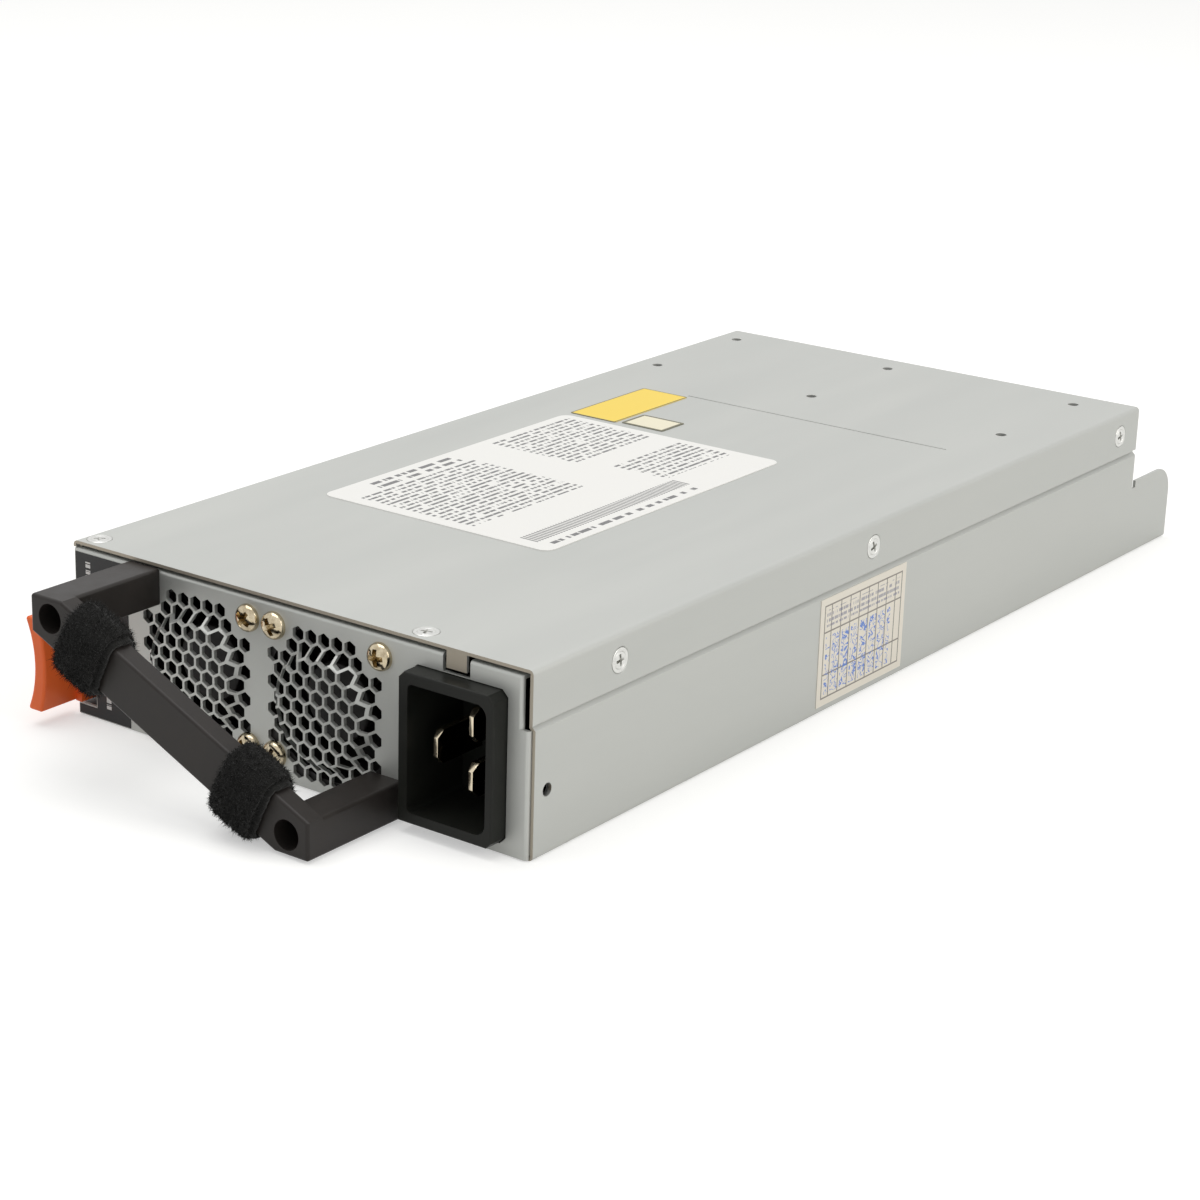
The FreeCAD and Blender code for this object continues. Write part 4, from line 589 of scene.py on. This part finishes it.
def carve(piece, cutter):
    """Cuts one closed piece out of another, and removes the cutter."""
    choose(piece)
    step = piece.modifiers.new("carve", "BOOLEAN")
    step.object = cutter
    step.operation = "DIFFERENCE"
    step.solver = "EXACT"
    bpy.ops.object.modifier_apply(modifier=step.name)
    bpy.data.objects.remove(cutter)


print("selection tools ready")

# %% [markdown]
# ## Driver recess
# A cross recess has four arms that narrow towards the bottom. The cutter for it starts as a
# small block. Its four sides are extruded into arms, and its floor is then made smaller, which
# slopes every wall, as the punch that makes the real recess does.


# %% Driver recess
def recess_cutter(reach, width, depth, top):
    """A cross with tapered walls, its top at this height."""
    choose()
    bpy.ops.mesh.primitive_cube_add(size=1, location=(0, 0, top - depth / 2),
                                    scale=(width, width, depth))
    cutter = bpy.context.object
    settle(cutter)
    bpy.ops.object.mode_set(mode="EDIT")
    pick(lambda face: abs(face.normal.z) < 0.5)
    bpy.ops.mesh.extrude_faces_move(
        MESH_OT_extrude_faces_indiv={}, TRANSFORM_OT_shrink_fatten={"value": reach - width / 2})
    pick(lambda face: face.normal.z < -0.5)
    bpy.ops.transform.resize(value=(0.5, 0.5, 1), center_override=(0, 0, top - depth))
    bpy.ops.object.mode_set(mode="OBJECT")
    return cutter


def pan_head(name, radius, height, reach):
    """A domed screw head that sits on z = 0, with a cross recess whose arms have this reach.
    The dome rises in steps, each a share of the height and then of the radius."""
    choose()
    bpy.ops.mesh.primitive_circle_add(vertices=40, radius=radius, fill_type="NGON")
    head = bpy.context.object
    head.name = name
    bpy.ops.object.mode_set(mode="EDIT")
    pick(lambda face: True)
    last = 1.0
    for rise, share in ((0.12, 1.0), (0.24, 0.97), (0.22, 0.88), (0.18, 0.73), (0.13, 0.53),
                        (0.08, 0.32), (0.03, 0.12)):
        bpy.ops.mesh.extrude_region_move(TRANSFORM_OT_translate={"value": (0, 0, rise * height)})
        bpy.ops.transform.resize(value=(share / last, share / last, 1), center_override=(0, 0, 0))
        last = share
    face_outwards()
    carve(head, recess_cutter(reach, reach * 0.55, height, height * 1.1))
    choose(head)
    bpy.ops.object.shade_smooth_by_angle(angle=math.radians(35))
    return head


PAN_RADIUS, PAN_HEIGHT, PAN_REACH = 3.4 * MM, 2.3 * MM, 2.45 * MM
pan = pan_head("pan_head_pattern", PAN_RADIUS, PAN_HEIGHT, PAN_REACH)
print("pan head faces:", len(pan.data.polygons))

# %% [markdown]
# ## Copies of one screw
# One head is modelled, and each screw is a copy with its own mesh, as a shop buys one kind of
# screw by the hundred. Nobody lines the crosses up on an assembly line, so each copy gets its
# own twist. A pattern faces upwards, and a quarter turn points it to the front or a side.


# %% Copies of a screw
def repeat(pattern, name, spots, turned, twists):
    """Copies a pattern to each spot, turned to face outwards, each with a twist in degrees."""
    made = []
    for number, (spot, twist) in enumerate(zip(spots, twists), 1):
        choose(pattern)
        bpy.ops.object.duplicate()
        piece = bpy.context.object
        piece.name = f"{name}_{number}"
        twisted = Matrix.Rotation(math.radians(twist), 4, "Z")
        piece.matrix_world = Matrix.Translation(spot) @ turned @ twisted
        settle(piece)
        made.append(piece)
    return made


def stand_for(node, material, pieces):
    """Gives finished pieces their material, and puts them in place of a CAD node."""
    for piece in pieces:
        dress(material, piece)
        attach(piece, "supply")
        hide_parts(node)


TO_FRONT = Matrix.Rotation(math.radians(90), 4, "X")
TO_RIGHT = Matrix.Rotation(math.radians(90), 4, "Y")
TO_LEFT = Matrix.Rotation(math.radians(-90), 4, "Y")
UPWARDS = Matrix.Identity(4)
print("copying tools ready")

# %% [markdown]
# ## Places of the fan and handle screws
# A screw sits 4 mm in from each corner of a fan. Two of the eight places are taken by the
# handle, whose screws sit deep in the wells of its arms instead. They are slimmer, so the
# pattern is made smaller between the two sets of copies.

# %% Fan and handle screws
SCREW_INSET = 4 * MM        # from a fan's corner to its screw, on both axes
SLIM_RADIUS, SLIM_HEIGHT = 2.7 * MM, 2.0 * MM

corners = []
for fan in ("fan_frame_left", "fan_frame_right"):
    low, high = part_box(fan)
    corners += [(across, up) for across in (low.x + SCREW_INSET, high.x - SCREW_INSET)
                for up in (low.z + SCREW_INSET, high.z - SCREW_INSET)]
handle_corners = [corners[1], corners[6]]
panel_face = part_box("front_label")[1].y
handle_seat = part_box("handle_screws")[0].y + SLIM_HEIGHT
fan_spots = [(across, panel_face, up) for across, up in corners
             if (across, up) not in handle_corners]
fan_screws = repeat(pan, "fan_screw", fan_spots, TO_FRONT, (12, 38, 55, 71, 25, 5))
handle_spots = [(across, handle_seat, up) for across, up in handle_corners]
choose(pan)
slimmer = SLIM_RADIUS / PAN_RADIUS
pan.scale = (slimmer, slimmer, SLIM_HEIGHT / PAN_HEIGHT)
settle(pan)
handle_screws = repeat(pan, "handle_screw", handle_spots, TO_FRONT, (30, 62))
stand_for("fan_screws", yellow_zinc_painted_reflections, fan_screws)
stand_for("handle_screws", yellow_zinc_painted_reflections, handle_screws)
bpy.data.objects.remove(pan)
print("fan screws:", len(fan_screws), "handle screws:", len(handle_screws))

# %% [markdown]
# ## Flush screw head
# These are countersunk, so their flat tops lie level with the dimpled sheet. The head is a
# cone made by extruding a small circle upwards and widening it. The top is then inset twice
# to leave the fine ring that the heading die presses in, and the recess is cut last.


# %% Flush screw head
def flush_head(name, radius, depth):
    """A countersunk head whose top is at z = 0."""
    choose()
    bpy.ops.mesh.primitive_circle_add(vertices=40, radius=radius * 0.45, fill_type="NGON",
                                      location=(0, 0, -depth))
    head = bpy.context.object
    head.name = name
    settle(head)
    bpy.ops.object.mode_set(mode="EDIT")
    pick(lambda face: True)
    bpy.ops.mesh.extrude_region_move(TRANSFORM_OT_translate={"value": (0, 0, depth * 0.82)})
    bpy.ops.transform.resize(value=(1 / 0.45, 1 / 0.45, 1), center_override=(0, 0, 0))
    bpy.ops.mesh.extrude_region_move(TRANSFORM_OT_translate={"value": (0, 0, depth * 0.14)})
    bpy.ops.mesh.extrude_region_move(TRANSFORM_OT_translate={"value": (0, 0, depth * 0.04)})
    bpy.ops.transform.resize(value=(0.97, 0.97, 1), center_override=(0, 0, 0))
    for thickness, step in ((0.24, 0.0), (0.04, -0.04), (0.04, 0.04), (0.3, 0.03)):
        bpy.ops.mesh.inset(thickness=thickness * radius, depth=step * radius)
    face_outwards()
    carve(head, recess_cutter(radius * 0.52, radius * 0.24, depth * 0.8, depth * 0.1))
    choose(head)
    bpy.ops.object.shade_smooth_by_angle(angle=math.radians(30))
    return head


flush = flush_head("flush_head_pattern", 3.0 * MM, 1.7 * MM)
print("flush head faces:", len(flush.data.polygons))

# %% [markdown]
# ## Places of the flush screws
# A CAD node may hold several screws, so a merged copy of its mesh is walked from edge to edge
# to find each one's own box. The heads' tops go level with the outer side of that box.


# %% Boxes of separate solids
def solid_boxes(node):
    """Lowest and highest corners of each separate solid of a CAD node, from left to right."""
    copy = bmesh.new()
    copy.from_mesh(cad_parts[node].data)
    bmesh.ops.remove_doubles(copy, verts=copy.verts, dist=0.001 * MM)
    left, boxes = set(copy.verts), []
    while left:
        solid, reached = set(), {left.pop()}
        while reached:
            solid |= reached
            beyond = {edge.other_vert(point) for point in reached for edge in point.link_edges}
            reached = beyond - solid
        left -= solid
        places = [[point.co[axis] for point in solid] for axis in range(3)]
        boxes.append((Vector([min(place) for place in places]),
                      Vector([max(place) for place in places])))
    copy.free()
    return sorted(boxes, key=lambda box: [round(side / MM) for side in box[0]])


print("separate side screws:", len(solid_boxes("side_screws")))

# %% Side and top screws
right_spots, left_spots = [], []
for low, high in solid_boxes("side_screws"):
    middle = (low + high) / 2
    if high.x > 0:
        right_spots.append(Vector((high.x, middle.y, middle.z)))
    else:
        left_spots.append(Vector((low.x, middle.y, middle.z)))
top_spots = [Vector(((low.x + high.x) / 2, (low.y + high.y) / 2, high.z))
             for low, high in solid_boxes("top_screws")]
side_screws = repeat(flush, "side_screw_right", right_spots, TO_RIGHT, (8, 22, 15))
side_screws += repeat(flush, "side_screw_left", left_spots, TO_LEFT, (33, 60, 12))
top_screws = repeat(flush, "top_screw", top_spots, UPWARDS, (40, 18))
stand_for("side_screws", nickel, side_screws)
stand_for("top_screws", nickel, top_screws)
bpy.data.objects.remove(flush)
print("side screws:", len(side_screws), "top screws:", len(top_screws))

# %% [markdown]
# ## Pins of the mains inlet
# Each pin is a flat bar whose tip is bevelled on all four sides, so that it finds its way into
# the socket, and whose far end narrows to a solder tag. A block is added at the CAD pin's
# place. Its front face is extruded and made smaller for the tip, and its rear face for the tag.


# %% Inlet pins
def flat_pin(name, low, high, tip, tag):
    """A flat bar between two corners, with a bevelled tip and a narrow tag of these lengths."""
    choose()
    middle = (low + high) / 2
    front, back = low.y + tip, high.y - tag
    bpy.ops.mesh.primitive_cube_add(size=1, location=(middle.x, (front + back) / 2, middle.z),
                                    scale=(high.x - low.x, back - front, high.z - low.z))
    pin = bpy.context.object
    pin.name = name
    settle(pin)
    bpy.ops.object.mode_set(mode="EDIT")
    pick(lambda face: face.normal.y < -0.5)
    bpy.ops.mesh.extrude_region_move(TRANSFORM_OT_translate={"value": (0, -tip, 0)})
    bpy.ops.transform.resize(value=(0.6, 1, 0.56), center_override=middle)
    pick(lambda face: face.normal.y > 0.5)
    bpy.ops.mesh.extrude_region_move(TRANSFORM_OT_translate={"value": (0, tag * 0.2, 0)})
    bpy.ops.transform.resize(value=(0.6, 1, 0.5), center_override=middle)
    bpy.ops.mesh.extrude_region_move(TRANSFORM_OT_translate={"value": (0, tag * 0.8, 0)})
    bpy.ops.object.mode_set(mode="OBJECT")
    edges = pin.modifiers.new("edges", "BEVEL")
    edges.width, edges.segments, edges.angle_limit = 0.15 * MM, 2, math.radians(20)
    choose(pin)
    bpy.ops.object.modifier_apply(modifier=edges.name)
    bpy.ops.object.shade_smooth_by_angle(angle=math.radians(30))
    return pin


PIN_TIP, PIN_TAG = 1.8 * MM, 12 * MM
for number, (low, high) in enumerate(solid_boxes("inlet_pins"), 1):
    pin = flat_pin(f"inlet_pin_{number}", low, high, PIN_TIP, PIN_TAG)
    stand_for("inlet_pins", pin_metal, [pin])
    print(pin.name, "from", round(low.y / MM, 1), "to", round(high.y / MM, 1), "mm")

# %% [markdown]
# ## Hook and loop straps
# Two short straps tie the mains lead to the handle, so that it can't be pulled out. Each is
# one strip, wound twice round the handle's bar and stuck to itself. Its path can't be had by
# pushing a primitive about, so it follows a path that is worked out: round the bar's section
# once, and then again one thickness further out, where the strip is looser and bulges a little
# over each flat. This cell finds the bar from the handle's box and gives points round it.

# %% Bar under the straps
ARM_WIDTH, ARM_TALL, BAR_DEPTH = 10 * MM, 9.2 * MM, 5 * MM
BAR_ROUND = 0.8 * MM        # the rounding of the bar's long edges
bar_low, bar_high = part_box("handle")
bar_run = Vector((bar_high.x - bar_low.x - ARM_WIDTH, 0, -(bar_high.z - bar_low.z - ARM_TALL)))
bar_along = bar_run.normalized()
bar_up = Vector((-bar_along.z, 0, bar_along.x))
bar_out = Vector((0, -1, 0))
bar_tall = Vector((ARM_WIDTH, 0, ARM_TALL)).dot(bar_up)
bar_middle = (bar_low + bar_high) / 2
bar_middle.y = bar_low.y + BAR_DEPTH / 2
HALF_OUT, HALF_UP = BAR_DEPTH / 2 - BAR_ROUND, bar_tall / 2 - BAR_ROUND


def round_bar(share, height, looseness):
    """A point round the bar's rounded section, a height above it. share 0 to 1 is one turn:
    the bar's underside, front, top and back. A loose strip bulges over each flat, by a share
    of that flat's length that is the last number of its row."""
    quarter = math.pi * BAR_ROUND / 2
    sides = [(2 * HALF_OUT, -1, -1, 0.08), (2 * HALF_UP, 1, -1, 0.09),
             (2 * HALF_OUT, 1, 1, 0.2), (2 * HALF_UP, -1, 1, 0.24)]
    left = (share % 1) * (sum(side[0] for side in sides) + 4 * quarter)
    for turn, (side, out, up, crown) in enumerate(sides):
        angle = (turn - 1) * math.pi / 2
        travel = Vector((-math.sin(angle), math.cos(angle), 0))
        corner = Vector((out * HALF_OUT, up * HALF_UP, 0))
        if left < side:
            bulge = looseness * crown * 4 * left * (side - left) / side
            normal = Vector((math.cos(angle), math.sin(angle), 0))
            return corner + travel * left + normal * (BAR_ROUND + height + bulge)
        left -= side
        if left < quarter:
            angle += left / BAR_ROUND
            normal = Vector((math.cos(angle), math.sin(angle), 0))
            return corner + travel * side + normal * (BAR_ROUND + height)
        left -= quarter
    return Vector((-HALF_OUT, -HALF_UP - BAR_ROUND - height, 0))


def above_bar(point, centre):
    """How far a point lies from the bar's surface."""
    offset = point - centre
    out, up = abs(offset.dot(bar_out)) - HALF_OUT, abs(offset.dot(bar_up)) - HALF_UP
    return math.hypot(max(out, 0), max(up, 0)) + min(max(out, up), 0) - BAR_ROUND


print("bar height in mm:", round(bar_tall / MM, 2), "length along:", round(bar_run.length / MM, 1))

# %% [markdown]
# ## Winding the strip
# The middle surface is a grid of points along the winding. The outer turn has slipped along the
# bar, which leaves a ledge of the inner one. Solidify gives the sheet a body, Bevel and
# Subdivision soften its edges, and a fine cloud displaces it, as pressed felt is never smooth.

# %% Wound strip
STRAP_WIDE, LAYER, SLACK = 12.0 * MM, 1.25 * MM, 0.3 * MM   # width, thickness, room at the bar
STEPS_A_TURN, LANES = 72, 10
CLIMB_FROM, CLIMB_OVER = 0.93, 0.14     # in turns, where the strip steps up onto itself


def wound_strip(name, centre, start, turns, slip):
    """A strip wound round the bar. slip is how far the outer turn has moved along the bar."""
    steps, lanes = int(turns * STEPS_A_TURN), LANES
    points, faces = [], []
    for step in range(steps + 1):
        turned = step / steps * turns
        climb = min(max((turned - CLIMB_FROM) / CLIMB_OVER, 0), 1)
        climb = climb * climb * (3 - 2 * climb)
        height = SLACK + LAYER / 2 + climb * LAYER * 1.04
        section = round_bar(start + turned, height, climb)
        shift = slip * (climb - 0.5) + 0.15 * MM * math.sin(turned * 9)
        for lane in range(lanes + 1):
            across = lane / lanes * 2 - 1
            sink = across ** 4 * (0.1 + 0.35 * climb) * MM
            droop = section * (1 - sink / section.length)
            points.append(centre + bar_along * (across * STRAP_WIDE / 2 + shift)
                          + bar_out * droop.x + bar_up * droop.y)
    for step in range(steps):
        for lane in range(lanes):
            corner = step * (lanes + 1) + lane
            faces.append((corner, corner + 1, corner + lanes + 2, corner + lanes + 1))
    length = sum((points[(step + 1) * (lanes + 1)] - points[step * (lanes + 1)]).length
                 for step in range(steps))
    strip = from_points(name, points, faces)
    choose(strip)
    body = strip.modifiers.new("body", "SOLIDIFY")
    body.thickness, body.offset = LAYER, 0
    soft = strip.modifiers.new("soft", "BEVEL")
    soft.width, soft.segments, soft.angle_limit = 0.35 * MM, 2, math.radians(50)
    fine = strip.modifiers.new("fine", "SUBSURF")
    fine.levels = fine.render_levels = 1
    cloud = bpy.data.textures.new(name + "_pile", "CLOUDS")
    cloud.noise_scale = 1.1 * MM
    rough = strip.modifiers.new("rough", "DISPLACE")
    rough.texture, rough.texture_coords = cloud, "LOCAL"
    rough.strength, rough.mid_level = 0.5 * MM, 0.5
    for step in list(strip.modifiers):
        bpy.ops.object.modifier_apply(modifier=step.name)
    bpy.ops.object.mode_set(mode="EDIT")
    face_outwards()
    bpy.ops.object.shade_smooth()
    return strip, length


print("strip", STRAP_WIDE / MM, "mm wide and", LAYER / MM, "mm thick")

# %% [markdown]
# ## Pile on the straps
# The loop side of such a strap is a felt of fine curled threads, and it is the felt that gives
# the strap its soft outline. Each thread is a thin bent spike with three sides and two
# lengths, so that thousands of them stay light. They stand on the outer turn's face and edges,
# lean at random from a fixed seed, and are left out where they would touch the table.


# %% Pile
SPREAD = 1.8 * MM           # how far threads may reach past a strip's edges, along the bar
ABOVE_TABLE = 0.1 * MM      # the least height of a thread
LEAN, BEND, CURL = 0.6, 0.8, 0.8    # how unevenly threads lean and bend, and how far they curl
REACH, HALF_THICK = (0.35, 0.95), (0.05, 0.08)      # mm, the least and the most


def pile(name, strip, centre, count, seed):
    """Loose threads on the outer turn of a strap, as one mesh. They grow on its crest, which
    faces away from the bar, and on the edges that stand above the inner turn."""
    chance = random.Random(seed)
    outer = []
    for face in strip.data.polygons:
        offset = face.center - centre
        radial = (offset - bar_along * offset.dot(bar_along)).normalized()
        height = above_bar(face.center, centre)
        crest = face.normal.dot(radial) > 0.35 and height > SLACK + LAYER * 1.5
        edge = abs(face.normal.dot(bar_along)) > 0.5 and height > SLACK + LAYER * 1.15
        if crest or edge:
            outer.append(face)
    points, faces = [], []
    for face in chance.choices(outer, weights=[face.area for face in outer], k=count):
        lean = Vector([chance.gauss(0, LEAN) for axis in range(3)])
        direction = (face.normal + lean).normalized()
        bend = Vector([chance.gauss(0, BEND) for axis in range(3)])
        reach = chance.uniform(*REACH) * MM
        side = direction.orthogonal().normalized() * chance.uniform(*HALF_THICK) * MM
        rings = []
        for share, wide in ((0.0, 1.0), (0.5, 0.85)):
            spot = face.center + direction * reach * share + bend * reach * share * share * CURL
            rings.append([spot + Matrix.Rotation(turn * math.tau / 3, 3, direction) @ side * wide
                          for turn in range(3)])
        tip = face.center + (direction + bend * CURL) * reach
        past_edge = abs((tip - centre).dot(bar_along)) - STRAP_WIDE / 2
        low_point = min(tip.z, rings[1][0].z)
        inwards = (tip - face.center).dot(face.normal) < 0
        if low_point < ABOVE_TABLE or past_edge > SPREAD or inwards:
            continue
        start = len(points)
        points += rings[0] + rings[1] + [tip]
        for turn in range(3):
            follow = (turn + 1) % 3
            faces.append((start + turn, start + follow, start + 3 + follow, start + 3 + turn))
            faces.append((start + 3 + turn, start + 3 + follow, start + 6))
        faces.append((start + 2, start + 1, start))
    return from_points(name, points, faces)


print("pile tool ready")

# %% [markdown]
# ## The two straps
# Both straps are black nylon. Light gets lost between the loops, so the fabric is very dark and
# rough, with a faint sheen where threads catch the light. Each strap is a sheet of cloth, its
# flat length is printed, and it rides on its own body, because it can slide along the bar.

# %% Straps
fabric, tree, shader = finish("black_loop_pile_fabric", "161616", 0.95, Sheen_Weight=0.14,
                              Sheen_Roughness=0.5, Specular_IOR_Level=0.2)
grain(tree, shader, "282826", "0A0A0A", 0.8, 0.9, 1.0, 0.35, 0.25)
SLIP = -1.3 * MM    # how far the outer turns have moved along the bar
THREADS = 11000     # tried on each strap, some of which are left out
THREAD_FACES = 7    # on one thread

for name, node, body, place, start, turns, seed in (
        ("strap_upper_strip", "strap_upper", "strap_top", -26.7 * MM, 0.70, 2.12, 3),
        ("strap_lower_strip", "strap_lower", "strap_bottom", 26.3 * MM, 0.74, 2.08, 8)):
    centre = bar_middle + bar_along * place
    strip, length = wound_strip(name, centre, start, turns, SLIP)
    threads = pile(name + "_pile", strip, centre, THREADS, seed)
    for piece in (strip, threads):
        dress(fabric, piece)
        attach(piece, body)
        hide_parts(node)
    print(name, "flat length in mm:", round(length / MM, 1),
          "threads:", len(threads.data.polygons) // THREAD_FACES)

# %% [markdown]
# ## Floor and sky
# The floor is a plain matt table. The camera sees its lit part as white because a little
# white is added to it for camera and mirror rays only, so the object's shadow stays. The sky
# does the same: it lights the object softly and shows as plain white.


# %% Floor and sky
def seen_directly(tree):
    """1 for rays from the camera, a mirror or glass, and 0 for rays that only bring light."""
    path = add(tree, "ShaderNodeLightPath").outputs
    seen = maths(tree, "MAXIMUM", path["Is Camera Ray"], path["Is Glossy Ray"])
    return maths(tree, "MAXIMUM", seen, path["Is Transmission Ray"])


choose()
bpy.ops.mesh.primitive_plane_add(size=12, location=(0, 0, -0.02 * MM))
floor = bpy.context.object
floor.name = "studio_floor"
settle(floor)
table_top = bpy.data.materials.new("matt_white_table")
table_top.use_nodes = True
tree = table_top.node_tree
tree.nodes.clear()
matt = add(tree, "ShaderNodeBsdfDiffuse", {"Color": linear("DCDCDA"), "Roughness": 0.5})
glow = add(tree, "ShaderNodeEmission", {
    "Color": (1, 1, 1, 1), "Strength": maths(tree, "MULTIPLY", seen_directly(tree), 0.42)})
both = add(tree, "ShaderNodeAddShader", {0: matt.outputs[0], 1: glow.outputs[0]})
add(tree, "ShaderNodeOutputMaterial", {"Surface": both.outputs[0]})
dress(table_top, floor)

sky = bpy.context.scene.world or bpy.data.worlds.new("studio_sky")
bpy.context.scene.world = sky
sky.use_nodes = True
tree = sky.node_tree
tree.nodes.clear()
strength = add(tree, "ShaderNodeMapRange", {
    "Value": seen_directly(tree), "To Min": 0.55, "To Max": 1.0})
light = add(tree, "ShaderNodeBackground", {
    "Color": (1, 1, 1, 1), "Strength": strength.outputs[0]})
add(tree, "ShaderNodeOutputWorld", {"Surface": light.outputs[0]})
print("floor and sky ready")

# %% [markdown]
# ## Lamps
# Two large square lamps light the object as a product table does. The one overhead makes the
# top the brightest face, and the one to the right, a little warmer, lights the side. The front
# gets only what they spill, so it is the darkest.


# %% Lamps
def lamp(name, place, aim, size, watts, colour):
    """A square soft lamp that points at a place."""
    bpy.ops.object.light_add(type="AREA", location=place)
    light = bpy.context.object
    light.name = name
    light.data.shape = "SQUARE"
    light.data.size = size
    light.data.energy = watts
    light.data.color = linear(colour)[:3]
    light.rotation_euler = (Vector(aim) - Vector(place)).to_track_quat("-Z", "Y").to_euler()


lamp("overhead_lamp", (-0.2, -0.1, 1.3), (0, 0, 0), 1.1, 9, "FFFFFF")
lamp("right_lamp", (1.5, 0.2, 0.7), (0, 0, 0.02), 1.0, 7, "FFFBF5")
